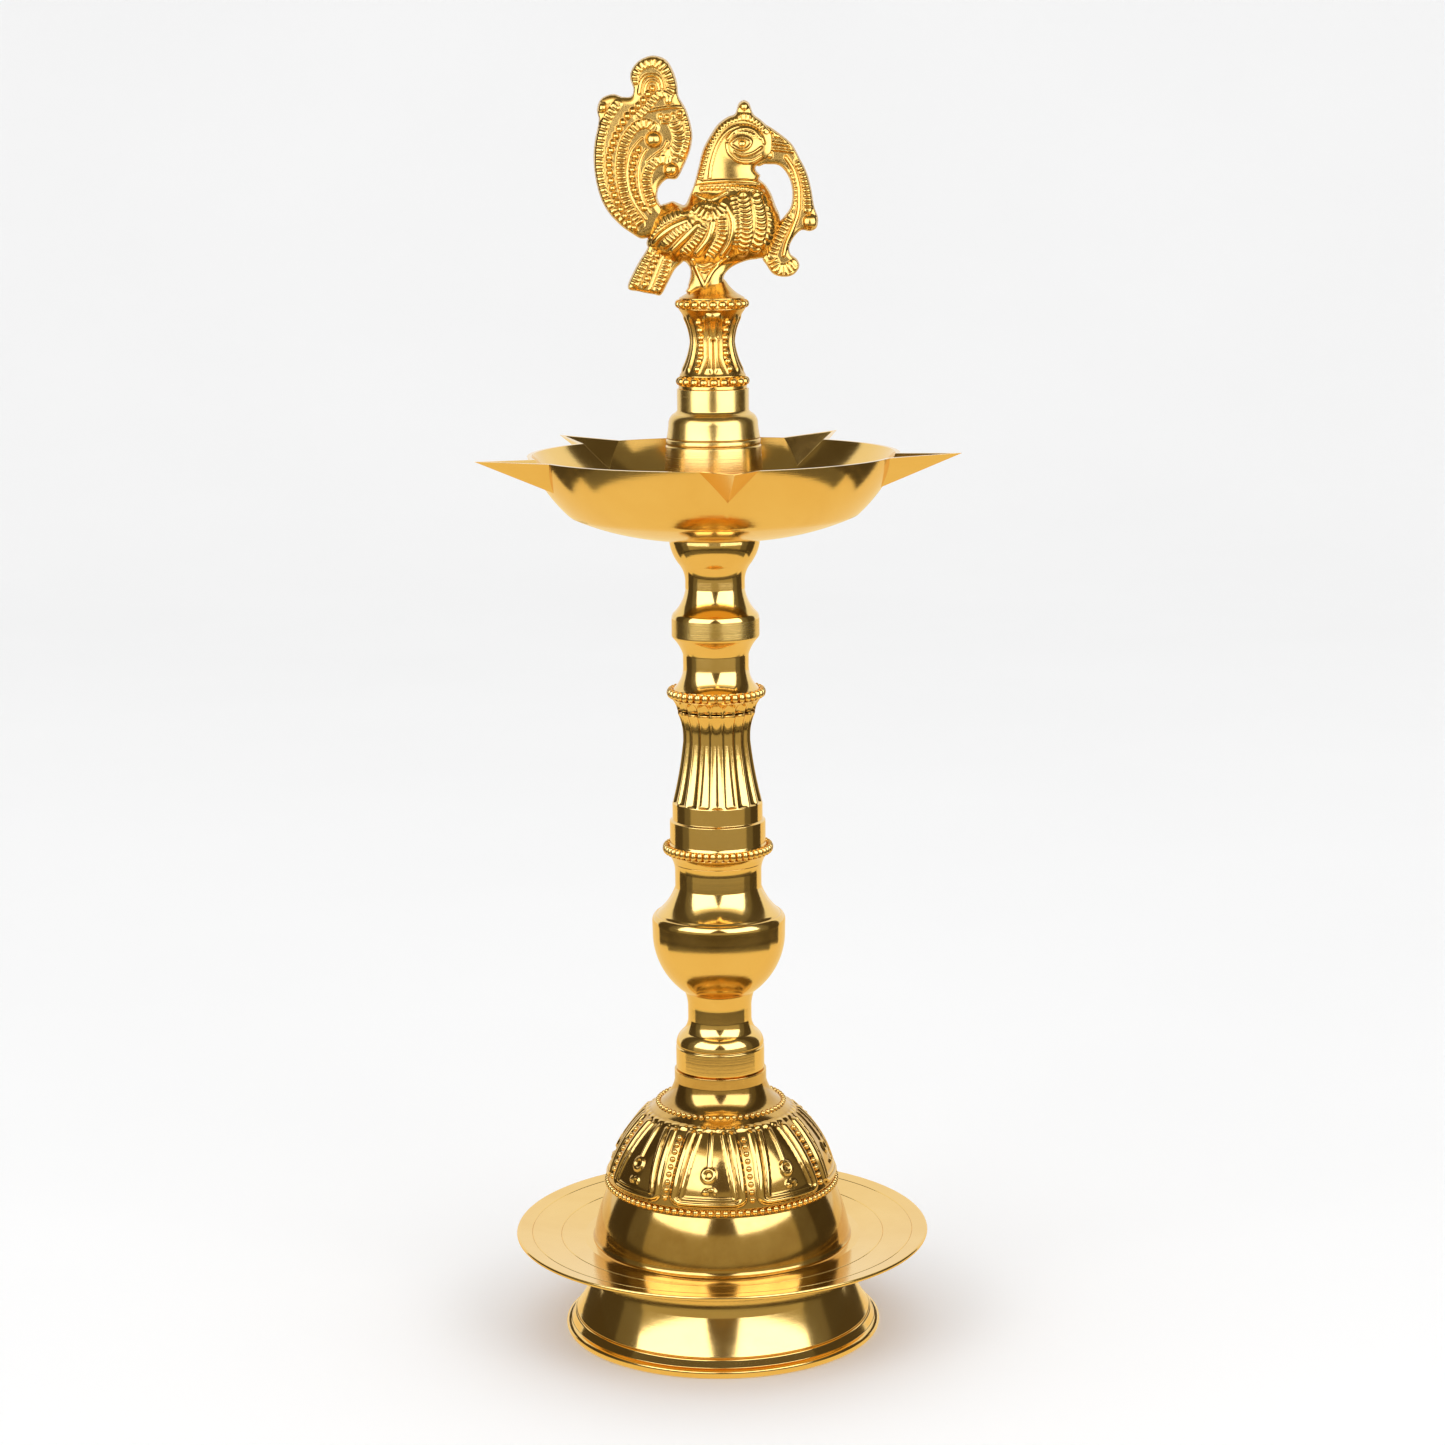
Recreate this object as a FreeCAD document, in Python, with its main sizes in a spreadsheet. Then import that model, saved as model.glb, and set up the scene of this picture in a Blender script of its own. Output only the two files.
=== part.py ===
import FreeCAD, Part
import Sketcher
import math
import os

V = FreeCAD.Vector
DOC = FreeCAD.newDocument("samai_lamp")

# Levels of the turned pieces above the table, mm
LEVELS = {
    "foot_ring": 0.0,
    "drip_plate": 32.4,
    "bell_dome": 33.9,
    "neck_stud": 82.2,
    "lower_stem": 96.2,
    "lower_stud": 158.2,
    "middle_stem": 172.2,
    "upper_stud": 213.2,
    "upper_stem": 227.2,
    "bowl_stud": 272.7,
    "bowl": 288.7,
    "collar": 291.2,
    "finial_stud": 328.2,
    "finial": 340.2,
}

# Single sizes, mm or degrees
SIZES = {
    "stud_radius": 6.0,
    "stud_bore": 6.08,
    "top_stud_radius": 5.0,
    "top_stud_bore": 5.08,
    "stud_length": 28.0,
    "bowl_stud_length": 34.0,
    "top_stud_length": 24.0,
    "thread_pitch": 1.5,
    "thread_depth": 0.55,
    "stud_chamfer": 0.7,
    "flute_count": 20,
    "flute_low_radius": 2.1,
    "flute_high_radius": 1.75,
    "flute_low_centre": 17.1,
    "flute_high_centre": 12.95,
    "flute_low_level": 22.6,
    "flute_high_level": 50.6,
    "spout_count": 5,
    "spout_root": 52.0,
    "spout_tip": 87.8,
    "spout_half_width": 15.1,
    "spout_keel": 15.0,
    "spout_rim": 29.0,
    "spout_rise": 1.1,
    "spout_wall": 1.7,
    "spout_azimuth": -85.5,
}

# Closed half sections of the turned pieces.  Each station is (name, radius, height, bend): height is
# above the piece's own base and bend is the radius of the stretch that arrives at the station,
# positive where it swells outwards, negative where it is hollow and 0 where it is straight.
SECTIONS = {
    "foot_ring": [
        ("sole_inner", 52.4, 0.0, 0),
        ("sole_outer", 55.4, 0.0, 0),
        ("lip_low", 57.0, 1.2, 1.6),
        ("lip_high", 57.0, 2.2, 0),
        ("lip_top", 55.6, 3.6, 1.7),
        ("line_low", 53.7, 5.9, 0),
        ("line_cut", 53.05, 6.15, 0),
        ("line_high", 53.2, 6.6, 0),
        ("throat", 46.4, 23.2, -45.0),
        ("crown", 45.2, 32.4, 0),
        ("seat", 37.5, 32.4, 0),
        ("spigot_outer", 37.5, 35.9, 0),
        ("spigot_inner", 35.5, 35.9, 0),
        ("roof_inner", 35.5, 29.6, 0),
        ("roof_outer", 41.6, 29.6, 0),
        ("wall_throat", 43.2, 22.6, 0),
        ("wall_flange", 49.8, 6.2, -46.0),
        ("sole_well", 52.4, 2.6, 0),
    ],
    "drip_plate": [
        ("hole_low", 37.7, 0.0, 0),
        ("well_low", 50.0, 0.0, 0),
        ("edge_low", 73.9, 2.9, 0),
        ("edge", 74.5, 3.5, 0.7),
        ("edge_high", 74.1, 4.4, 1.1),
        ("outer_line_out", 69.15, 3.8, 0),
        ("outer_line", 68.9, 3.42, 0),
        ("outer_line_in", 68.65, 3.74, 0),
        ("inner_line_out", 58.65, 2.54, 0),
        ("inner_line", 58.4, 2.16, 0),
        ("inner_line_in", 58.15, 2.48, 0),
        ("well_high", 50.0, 1.5, 0),
        ("hole_high", 37.7, 1.5, 0),
    ],
    "bell_dome": [
        ("base_inner", 43.4, 0.0, 0),
        ("base_outer", 46.9, 0.0, 0),
        ("base_edge", 46.9, 0.6, 0),
        ("flare", 42.4, 9.3, -42.0),
        ("waist", 41.4, 15.5, -19.6),
        ("roll", 40.4, 19.9, 9.5),
        ("bead_seat", 40.4, 22.2, 0),
        ("dome_foot", 41.2, 22.4, 0),
        ("shoulder", 22.2, 50.3, 44.9),
        ("neck", 16.5, 58.2, -10.8),
        ("top_outer", 16.5, 62.3, 0),
        ("top_inner", 6.08, 62.3, 0),
        ("socket_end", 6.08, 46.2, 0),
        ("boss", 14.0, 46.2, 0),
        ("crown_inner", 17.5, 48.8, 0),
        ("wall_inner", 37.9, 22.0, 42.0),
        ("skirt_inner", 38.4, 15.0, 0),
        ("flare_inner", 39.6, 9.0, 0),
    ],
    "lower_stem": [
        ("foot_inner", 6.08, 0.0, 0),
        ("foot", 15.3, 0.0, 0),
        ("collar_low", 15.85, 0.55, 0),
        ("collar_high", 15.85, 8.4, 0),
        ("collar_line", 15.3, 8.9, 0),
        ("collar_brow", 15.75, 9.4, 0),
        ("fall", 13.2, 14.1, 6.0),
        ("waist_low", 11.4, 18.6, -7.0),
        ("waist_high", 11.4, 23.0, 0),
        ("crease", 12.5, 28.7, -16.0),
        ("bulb_low", 23.8, 50.6, 26.5),
        ("bulb_high", 23.8, 56.4, 0),
        ("bulb_lip", 23.2, 57.2, 0),
        ("neck_low", 15.4, 67.0, -19.0),
        ("neck_high", 15.4, 73.0, 0),
        ("top", 15.9, 76.0, -9.5),
        ("top_inner", 6.08, 76.0, 0),
    ],
    "middle_stem": [
        ("foot_inner", 6.08, 0.0, 0),
        ("foot", 15.9, 0.0, 0),
        ("ring_low", 18.2, 2.9, -4.0),
        ("ring_high", 18.2, 6.5, 1.8),
        ("cove", 17.0, 8.8, -4.0),
        ("drum", 17.0, 15.3, 0),
        ("step", 16.0, 15.7, 0),
        ("flute_foot", 16.0, 21.6, 0),
        ("taper", 12.0, 45.0, -180.0),
        ("waist", 12.0, 49.0, 0),
        ("brow", 13.6, 53.6, -9.0),
        ("top", 13.6, 55.0, 0),
        ("top_inner", 6.08, 55.0, 0),
    ],
    "upper_stem": [
        ("foot_inner", 6.08, 0.0, 0),
        ("foot", 13.9, 0.0, 0),
        ("foot_brow", 16.0, 2.6, 3.4),
        ("ring_low", 16.1, 4.5, 0),
        ("ring_high", 16.1, 7.9, 1.7),
        ("neck_low", 11.6, 16.4, -10.5),
        ("neck_high", 11.6, 19.8, 0),
        ("band_under", 15.1, 25.8, -14.0),
        ("band_low", 15.46, 26.5, 0),
        ("band_high", 15.46, 32.5, 0),
        ("band_over", 14.9, 34.5, 3.2),
        ("stalk_low", 10.5, 43.2, -14.0),
        ("stalk_high", 10.5, 46.2, 0),
        ("cup_line", 12.5, 51.7, -9.5),
        ("cup_wall", 15.9, 59.6, 16.0),
        ("cup_rim", 15.9, 61.5, 0),
        ("cup_inner", 6.08, 61.5, 0),
    ],
    "bowl_outside": [
        ("hole_low", 6.3, 0.0, 0),
        ("seat", 20.0, 0.0, 0),
        ("turn", 50.5, 7.8, 89.0),
        ("rim_outer", 64.9, 28.3, 55.0),
        ("rim_top", 64.4, 28.9, 0.6),
        ("rim_axis", 6.3, 28.9, 0),
    ],
    "bowl_inside": [
        ("floor_hole", 6.3, 2.5, 0),
        ("floor", 21.0, 2.5, 0),
        ("turn", 49.5, 9.8, 84.0),
        ("rim_inner", 63.2, 28.9, 53.0),
        ("rim_above", 63.2, 40.0, 0),
        ("above_hole", 6.3, 40.0, 0),
    ],
    "collar": [
        ("foot_inner", 6.08, 0.0, 0),
        ("foot", 19.0, 0.0, 0),
        ("foot_edge", 19.0, 1.2, 0),
        ("cone", 17.2, 20.0, -120.0),
        ("line_low", 16.6, 29.2, 0),
        ("line_cut", 16.15, 29.6, 0),
        ("line_high", 16.5, 30.0, 0),
        ("shoulder", 15.6, 37.0, -40.0),
        ("ogee", 13.9, 40.3, 4.0),
        ("step", 12.5, 41.6, -3.0),
        ("top", 12.5, 49.0, 0),
        ("top_inner", 5.08, 49.0, 0),
        ("socket_end", 5.08, 35.5, 0),
        ("core_top", 11.0, 31.5, 0),
        ("core_low", 12.5, 21.0, 0),
        ("core_end", 6.08, 17.0, 0),
    ],
    "pedestal": [
        ("foot_inner", 5.08, 0.0, 0),
        ("foot", 12.3, 0.0, 0),
        ("ring_low", 12.5, 1.1, 0),
        ("ring_high", 12.5, 3.9, 1.4),
        ("waist", 8.0, 16.0, -26.0),
        ("flare", 11.6, 26.6, -20.0),
        ("flange_low", 12.2, 28.1, 0),
        ("flange_high", 12.2, 30.9, 1.4),
        ("flange_top", 11.2, 31.8, 0),
        ("stalk", 6.0, 38.0, -9.0),
        ("stalk_top", 6.0, 47.0, 0),
        ("stalk_axis", 0.0, 47.0, 0),
        ("socket_axis", 0.0, 13.5, 0),
        ("socket_end", 5.08, 13.5, 0),
    ],
}

# Side outlines of the bird's flat limbs, seen from the front: (x, height above the finial's base)
FINIAL_LIMBS = {
    "tail_fan": (9.6, [
        (-18.5, 53.5), (-23.5, 51.5), (-27.5, 53.5), (-31.5, 56.5), (-35.5, 61.0), (-38.0, 66.0),
        (-39.5, 72.5), (-40.0, 79.0), (-39.5, 84.5), (-38.5, 89.0), (-38.0, 92.0), (-38.5, 95.5),
        (-37.0, 99.0), (-33.0, 100.5), (-29.5, 99.5), (-26.8, 99.7), (-26.0, 102.0), (-27.0, 105.5),
        (-26.5, 108.5), (-24.0, 111.5), (-19.5, 113.2), (-15.0, 112.0), (-12.5, 108.5), (-11.0, 104.0),
        (-10.5, 99.5), (-8.0, 95.0), (-6.5, 90.0), (-6.0, 85.5), (-7.0, 80.5), (-9.0, 76.0),
        (-11.5, 71.8), (-15.0, 71.5), (-17.5, 69.0), (-18.2, 65.5), (-16.5, 62.0), (-13.0, 58.0),
    ]),
    "tail_stub": (8.0, [
        (-13.0, 50.0), (-20.0, 51.5), (-22.5, 47.5), (-26.0, 42.0), (-29.0, 35.0), (-25.0, 33.5),
        (-20.0, 32.5), (-17.5, 32.3), (-15.0, 36.5), (-12.5, 41.0), (-9.0, 45.0),
    ]),
    "vine": (5.6, [
        (15.0, 91.0), (19.5, 89.5), (24.0, 86.5), (28.0, 83.0), (30.5, 78.5), (33.0, 73.5),
        (34.5, 68.0), (35.5, 62.0), (36.8, 58.0), (36.3, 54.7), (34.0, 53.5), (31.0, 53.8),
        (28.5, 51.5), (27.0, 48.5), (27.2, 46.0), (29.5, 44.0), (30.3, 41.5), (28.3, 38.8),
        (25.0, 38.0), (21.3, 39.0), (19.0, 42.0), (17.5, 45.0), (19.5, 50.5), (22.5, 55.5),
        (25.0, 58.5), (27.3, 61.7), (28.0, 66.0), (27.3, 70.5), (25.5, 74.0), (23.0, 76.0),
        (19.0, 76.3), (15.5, 76.8),
    ]),
    "neck": (12.0, [
        (-10.5, 59.5), (-7.5, 65.0), (-5.5, 70.5), (-4.0, 76.0), (-2.3, 82.0), (0.0, 86.5),
        (3.0, 90.0), (6.5, 92.3), (9.0, 94.2), (10.0, 96.8), (11.8, 98.0), (13.5, 96.8),
        (14.5, 94.0), (17.0, 91.5), (20.0, 88.0), (21.2, 83.5), (19.5, 78.5), (16.2, 75.5),
        (16.8, 72.5), (19.5, 68.5), (21.0, 63.0), (15.0, 54.5), (-2.0, 54.5),
    ]),
    "legs": (9.0, [
        (-8.5, 47.0), (-7.5, 42.5), (-7.0, 39.0), (-7.5, 36.0), (-6.5, 33.2), (5.5, 33.2),
        (6.0, 36.0), (5.0, 38.5), (5.6, 41.0), (10.0, 43.5), (8.5, 47.5),
    ]),
}

# Rounded masses of the bird: (x, height, half length, half height, half thickness, tilt in degrees)
FINIAL_MASSES = {
    "trunk": (0.2, 54.6, 22.6, 10.8, 11.0, 6.0),
    "breast": (12.0, 57.2, 11.4, 13.6, 10.4, 14.0),
    "head": (11.2, 83.2, 8.6, 8.2, 7.4, 0.0),
}


def fill_sheet():
    """Put every size in the spreadsheet, one named cell each."""
    sheet = DOC.addObject("Spreadsheet::Sheet", "Sizes")
    row = 1

    def put(alias, value):
        nonlocal row
        sheet.set(f"A{row}", alias.replace("_", " "))
        sheet.set(f"B{row}", str(value))
        sheet.setAlias(f"B{row}", alias)
        row += 1

    for name, level in LEVELS.items():
        put(f"{name}_level", level)
    for name, value in SIZES.items():
        put(name, value)
    for piece, stations in SECTIONS.items():
        for name, radius, height, bend in stations:
            put(f"{piece}_{name}_radius", radius)
            put(f"{piece}_{name}_height", height)
            if bend:
                put(f"{piece}_{name}_bend", abs(bend))
    for limb, (thickness, _) in FINIAL_LIMBS.items():
        put(f"{limb}_thickness", thickness)
    for mass, numbers in FINIAL_MASSES.items():
        for word, value in zip(("across", "height", "long", "tall", "thick", "tilt"), numbers):
            put(f"{mass}_{word}", value)
    DOC.recompute()
    return sheet


def plane(body, role):
    """Return one of a body's own origin planes."""
    return next(p for p in body.Origin.OriginFeatures if p.Role == role)


def new_body(name, level=True):
    """Start a body that stands at its own level."""
    body = DOC.addObject("PartDesign::Body", name)
    body.Label = name
    if level:
        body.Placement = FreeCAD.Placement(V(0, 0, LEVELS[name]), FreeCAD.Rotation())
        body.setExpression("Placement.Base.z", f"Sizes.{name}_level")
    return body


def new_sketch(body, name, role, offset=None):
    """Add a sketch on one of the body's origin planes, moved along its normal by a bound offset."""
    sketch = body.newObject("Sketcher::SketchObject", name)
    sketch.AttachmentSupport = (plane(body, role), [""])
    sketch.MapMode = "FlatFace"
    if offset:
        sketch.setExpression("AttachmentOffset.Base.z", f"Sizes.{offset}")
        DOC.recompute()
    return sketch


def bind(sketch, constraint, name, expression):
    """Add a named constraint and bind it to the sheet."""
    index = sketch.addConstraint(Sketcher.Constraint(*constraint))
    sketch.renameConstraint(index, name)
    sketch.setExpression(f"Constraints.{name}", expression)


def arc_between(start, end, bend):
    """Return an arc of radius |bend| from start to end, and which of its ends is the start."""
    chord = end - start
    half = chord.Length / 2.0
    radius = max(abs(bend), half * 1.0001)
    left = V(-chord.y, chord.x, 0).normalize()
    reach = math.sqrt(radius * radius - half * half)
    middle = (start + end) * 0.5
    centre = middle + left * reach if bend > 0 else middle - left * reach
    first, last = (start, end) if bend > 0 else (end, start)
    from_angle = math.atan2(first.y - centre.y, first.x - centre.x)
    to_angle = math.atan2(last.y - centre.y, last.x - centre.x)
    if to_angle < from_angle:
        to_angle += 2.0 * math.pi
    circle = Part.Circle(centre, V(0, 0, 1), radius)
    return Part.ArcOfCircle(circle, from_angle, to_angle), (1, 2) if bend > 0 else (2, 1)


def section_sketch(body, piece):
    """Draw a closed half section from its stations, every station and bend bound to the sheet."""
    stations = SECTIONS[piece]
    sketch = new_sketch(body, f"{piece}_section", "XZ_Plane")
    ends = []
    for index, (name, radius, height, bend) in enumerate(stations):
        before = stations[index - 1]
        start = V(before[1], before[2], 0)
        end = V(radius, height, 0)
        if bend:
            curve, order = arc_between(start, end, bend)
        else:
            curve, order = Part.LineSegment(start, end), (1, 2)
        ends.append((sketch.addGeometry(curve, False), order))
    for index, (name, radius, height, bend) in enumerate(stations):
        curve, order = ends[index]
        after, after_order = ends[(index + 1) % len(ends)]
        sketch.addConstraint(Sketcher.Constraint("Coincident", curve, order[1], after, after_order[0]))
        point = (curve, order[1])
        if radius:
            bind(sketch, ("DistanceX", -1, 1, *point, radius), f"{name}_r", f"Sizes.{piece}_{name}_radius")
        else:
            sketch.addConstraint(Sketcher.Constraint("PointOnObject", *point, -2))
        if height:
            bind(sketch, ("DistanceY", -1, 1, *point, height), f"{name}_z", f"Sizes.{piece}_{name}_height")
        else:
            sketch.addConstraint(Sketcher.Constraint("PointOnObject", *point, -1))
        if bend:
            bind(sketch, ("Radius", curve, abs(bend)), f"{name}_b", f"Sizes.{piece}_{name}_bend")
    return sketch


def turn(body, piece, kind="PartDesign::Revolution"):
    """Revolve a section round the body's upright axis."""
    sketch = section_sketch(body, piece)
    solid = body.newObject(kind, f"{piece}_turned")
    solid.Profile = sketch
    solid.ReferenceAxis = (sketch, ["V_Axis"])
    solid.Angle = 360.0
    DOC.recompute()
    return solid


def turned_piece(name):
    """Make a plainly turned piece."""
    body = new_body(name)
    turn(body, name)
    return body


def polar(body, name, feature, count):
    """Repeat a feature evenly round the body's upright axis."""
    pattern = body.newObject("PartDesign::PolarPattern", name)
    pattern.Originals = [feature]
    pattern.Axis = (next(a for a in body.Origin.OriginFeatures if a.Role == "Z_Axis"), [""])
    pattern.Angle = 360.0
    pattern.Occurrences = int(SIZES[count])
    pattern.setExpression("Occurrences", f"Sizes.{count}")
    body.Tip = pattern
    DOC.recompute()
    return pattern


def stud(name, radius, length):
    """Make a stud with a ring of thread every pitch along it."""
    body = new_body(name)
    r, n, c = SIZES[radius], SIZES[length], SIZES["stud_chamfer"]
    corners = [(0, 0), (r - c, 0), (r, c), (r, n - c), (r - c, n), (0, n)]
    bound = [
        (None, None),
        (f"Sizes.{radius} - Sizes.stud_chamfer", None),
        (f"Sizes.{radius}", "Sizes.stud_chamfer"),
        (f"Sizes.{radius}", f"Sizes.{length} - Sizes.stud_chamfer"),
        (f"Sizes.{radius} - Sizes.stud_chamfer", f"Sizes.{length}"),
        (None, f"Sizes.{length}"),
    ]
    blank_sketch = bound_polygon(new_sketch(body, f"{name}_section", "XZ_Plane"), corners, bound)
    blank = body.newObject("PartDesign::Revolution", f"{name}_blank")
    blank.Profile = blank_sketch
    blank.ReferenceAxis = (blank_sketch, ["V_Axis"])
    blank.Angle = 360.0
    DOC.recompute()

    depth, pitch = SIZES["thread_depth"], SIZES["thread_pitch"]
    low = pitch
    corners = [(r + 0.1, low), (r + 0.1, low + pitch * 0.8), (r - depth, low + pitch * 0.4)]
    bound = [
        (f"Sizes.{radius} + 0.1", "Sizes.thread_pitch"),
        (f"Sizes.{radius} + 0.1", "Sizes.thread_pitch * 1.8"),
        (f"Sizes.{radius} - Sizes.thread_depth", "Sizes.thread_pitch * 1.4"),
    ]
    cut_sketch = bound_polygon(new_sketch(body, f"{name}_thread_section", "XZ_Plane"), corners, bound)
    cut = body.newObject("PartDesign::Groove", f"{name}_thread")
    cut.Profile = cut_sketch
    cut.ReferenceAxis = (cut_sketch, ["V_Axis"])
    cut.Angle = 360.0
    DOC.recompute()

    count = int((n - 2.0 * pitch) / pitch)
    pattern = body.newObject("PartDesign::LinearPattern", f"{name}_threads")
    pattern.Originals = [cut]
    pattern.Direction = (next(a for a in body.Origin.OriginFeatures if a.Role == "Z_Axis"), [""])
    pattern.Length = pitch * (count - 1)
    pattern.Occurrences = count
    pattern.setExpression("Length", f"Sizes.thread_pitch * {count - 1}")
    body.Tip = pattern
    DOC.recompute()
    return body


def bound_polygon(sketch, corners, bound):
    """Draw a closed polygon with each corner's two distances bound by an expression or held on an axis."""
    points = [V(x, y, 0) for x, y in corners]
    lines = [
        sketch.addGeometry(Part.LineSegment(a, b), False)
        for a, b in zip(points, points[1:] + points[:1])
    ]
    for index, line in enumerate(lines):
        sketch.addConstraint(Sketcher.Constraint("Coincident", line, 1, lines[index - 1], 2))
        across, along = bound[index]
        x, y = corners[index]
        if across:
            bind(sketch, ("DistanceX", -1, 1, line, 1, x), f"across_{index}", across)
        else:
            sketch.addConstraint(Sketcher.Constraint("PointOnObject", line, 1, -2))
        if along:
            bind(sketch, ("DistanceY", -1, 1, line, 1, y), f"along_{index}", along)
        else:
            sketch.addConstraint(Sketcher.Constraint("PointOnObject", line, 1, -1))
    return sketch


def fluted_stem():
    """Turn the middle stem and cut its flutes, each narrowing upwards with the taper."""
    body = new_body("middle_stem")
    turn(body, "middle_stem")
    rounds = []
    for end in ("low", "high"):
        sketch = new_sketch(body, f"flute_{end}", "XY_Plane", f"flute_{end}_level")
        centre, radius = SIZES[f"flute_{end}_centre"], SIZES[f"flute_{end}_radius"]
        circle = sketch.addGeometry(Part.Circle(V(centre, 0, 0), V(0, 0, 1), radius), False)
        sketch.addConstraint(Sketcher.Constraint("PointOnObject", circle, 3, -1))
        bind(sketch, ("DistanceX", -1, 1, circle, 3, centre), "centre", f"Sizes.flute_{end}_centre")
        bind(sketch, ("Radius", circle, radius), "size", f"Sizes.flute_{end}_radius")
        rounds.append(sketch)
    flute = body.newObject("PartDesign::SubtractiveLoft", "flute")
    flute.Profile = rounds[0]
    flute.Sections = [rounds[1]]
    flute.Ruled = True
    DOC.recompute()
    polar(body, "flutes", flute, "flute_count")
    return body


def spout_loft(body, name, kind, inset):
    """Make one spout, or the channel in it, as a vee that runs out to the tip."""
    sketches = []
    for end, share in (("root", 1.0), ("tip", 0.02)):
        sketch = new_sketch(body, f"{name}_{end}", "YZ_Plane", f"spout_{end}")
        half = (SIZES["spout_half_width"] - 1.55 * inset) * share
        deep = (SIZES["spout_keel"] - 1.4 * inset) * share
        top = SIZES["spout_rim"] + SIZES["spout_rise"] * (1.0 - share) + (3.0 * share if inset else 0.0)
        low = SIZES["spout_rim"] + SIZES["spout_rise"] * (1.0 - share)
        if inset:
            widen = 1.0 + (top - low) / max(deep, 0.001)
            corners = [V(-half * widen, top, 0), V(0, low - deep, 0), V(half * widen, top, 0)]
        else:
            corners = [V(-half, top, 0), V(0, low - deep, 0), V(half, top, 0)]
        for first, second in zip(corners, corners[1:] + corners[:1]):
            sketch.addGeometry(Part.LineSegment(first, second), False)
        sketches.append(sketch)
    loft = body.newObject(kind, name)
    loft.Profile = sketches[0]
    loft.Sections = [sketches[1]]
    loft.Ruled = True
    DOC.recompute()
    return loft


def spouted_bowl():
    """Make the oil bowl: a turned dish with vee spouts, hollowed after the spouts are on."""
    body = new_body("bowl")
    turn(body, "bowl_outside")
    spout = spout_loft(body, "spout", "PartDesign::AdditiveLoft", 0.0)
    polar(body, "spouts", spout, "spout_count")
    turn(body, "bowl_inside", "PartDesign::Groove")
    channel = spout_loft(body, "channel", "PartDesign::SubtractiveLoft", SIZES["spout_wall"])
    polar(body, "channels", channel, "spout_count")
    level = LEVELS["bowl"]
    turned = FreeCAD.Rotation(V(0, 0, 1), SIZES["spout_azimuth"])
    body.Placement = FreeCAD.Placement(V(0, 0, level), turned)
    body.setExpression("Placement.Base.z", "Sizes.bowl_level")
    return body


def limb(name):
    """Make one flat limb of the bird from its side outline."""
    thickness, outline = FINIAL_LIMBS[name]
    body = new_body(name, level=False)
    sketch = new_sketch(body, f"{name}_outline", "XZ_Plane")
    curve = Part.BSplineCurve()
    curve.interpolate(Points=[V(x, z, 0) for x, z in outline], PeriodicFlag=True)
    sketch.addGeometry(curve, False)
    pad = body.newObject("PartDesign::Pad", f"{name}_pad")
    pad.Profile = sketch
    pad.SideType = "Symmetric"
    pad.Length = thickness
    pad.setExpression("Length", f"Sizes.{name}_thickness")
    DOC.recompute()
    return body


def mass(name):
    """Make one rounded mass of the bird."""
    across, height, long, tall, thick, tilt = FINIAL_MASSES[name]
    ball = DOC.addObject("Part::Ellipsoid", name)
    ball.Radius1 = tall
    ball.Radius2 = long
    ball.Radius3 = thick
    ball.setExpression("Radius1", f"Sizes.{name}_tall")
    ball.setExpression("Radius2", f"Sizes.{name}_long")
    ball.setExpression("Radius3", f"Sizes.{name}_thick")
    ball.Placement = FreeCAD.Placement(V(across, 0, height), FreeCAD.Rotation(V(0, 1, 0), -tilt))
    ball.setExpression("Placement.Base.x", f"Sizes.{name}_across")
    ball.setExpression("Placement.Base.z", f"Sizes.{name}_height")
    return ball


def peacock_finial():
    """Join the pedestal, the bird's masses and its flat limbs into one casting."""
    pedestal = new_body("pedestal", level=False)
    turn(pedestal, "pedestal")
    casting = pedestal
    for name in list(FINIAL_MASSES) + list(FINIAL_LIMBS):
        part = mass(name) if name in FINIAL_MASSES else limb(name)
        joined = DOC.addObject("Part::Fuse", f"casting_with_{name}")
        joined.Base = casting
        joined.Tool = part
        joined.Refine = False
        casting = joined
    casting.Label = "finial"
    casting.Placement = FreeCAD.Placement(V(0, 0, LEVELS["finial"]), FreeCAD.Rotation())
    casting.setExpression("Placement.Base.z", "Sizes.finial_level")
    DOC.recompute()
    return casting


def build():
    """Make every piece of the lamp, from the table up."""
    return [
        turned_piece("foot_ring"),
        turned_piece("drip_plate"),
        turned_piece("bell_dome"),
        stud("neck_stud", "stud_radius", "stud_length"),
        turned_piece("lower_stem"),
        stud("lower_stud", "stud_radius", "stud_length"),
        fluted_stem(),
        stud("upper_stud", "stud_radius", "stud_length"),
        turned_piece("upper_stem"),
        stud("bowl_stud", "stud_radius", "bowl_stud_length"),
        spouted_bowl(),
        turned_piece("collar"),
        stud("finial_stud", "top_stud_radius", "top_stud_length"),
        peacock_finial(),
    ]


def check(pieces):
    """Stop if anything in the document is broken or any piece isn't one sound solid."""
    for thing in DOC.Objects:
        bad = [word for word in thing.State if word in ("Invalid", "Error")]
        if bad:
            raise RuntimeError(f"{thing.Name} is {bad}")
    for piece in pieces:
        shape = piece.Shape
        if shape.isNull() or not shape.isValid() or len(shape.Solids) != 1:
            raise RuntimeError(f"{piece.Label} is not one valid solid")
        print(f"{piece.Label}: {shape.Volume / 1000.0:.2f} cm3")


fill_sheet()
PIECES = build()
DOC.recompute()
check(PIECES)
os.makedirs("parts", exist_ok=True)
for piece in PIECES:
    piece.Shape.exportStep(f"parts/{piece.Label}.step")
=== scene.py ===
import math

import bmesh
import bpy
import numpy as np
from mathutils import Matrix, Vector


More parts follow.
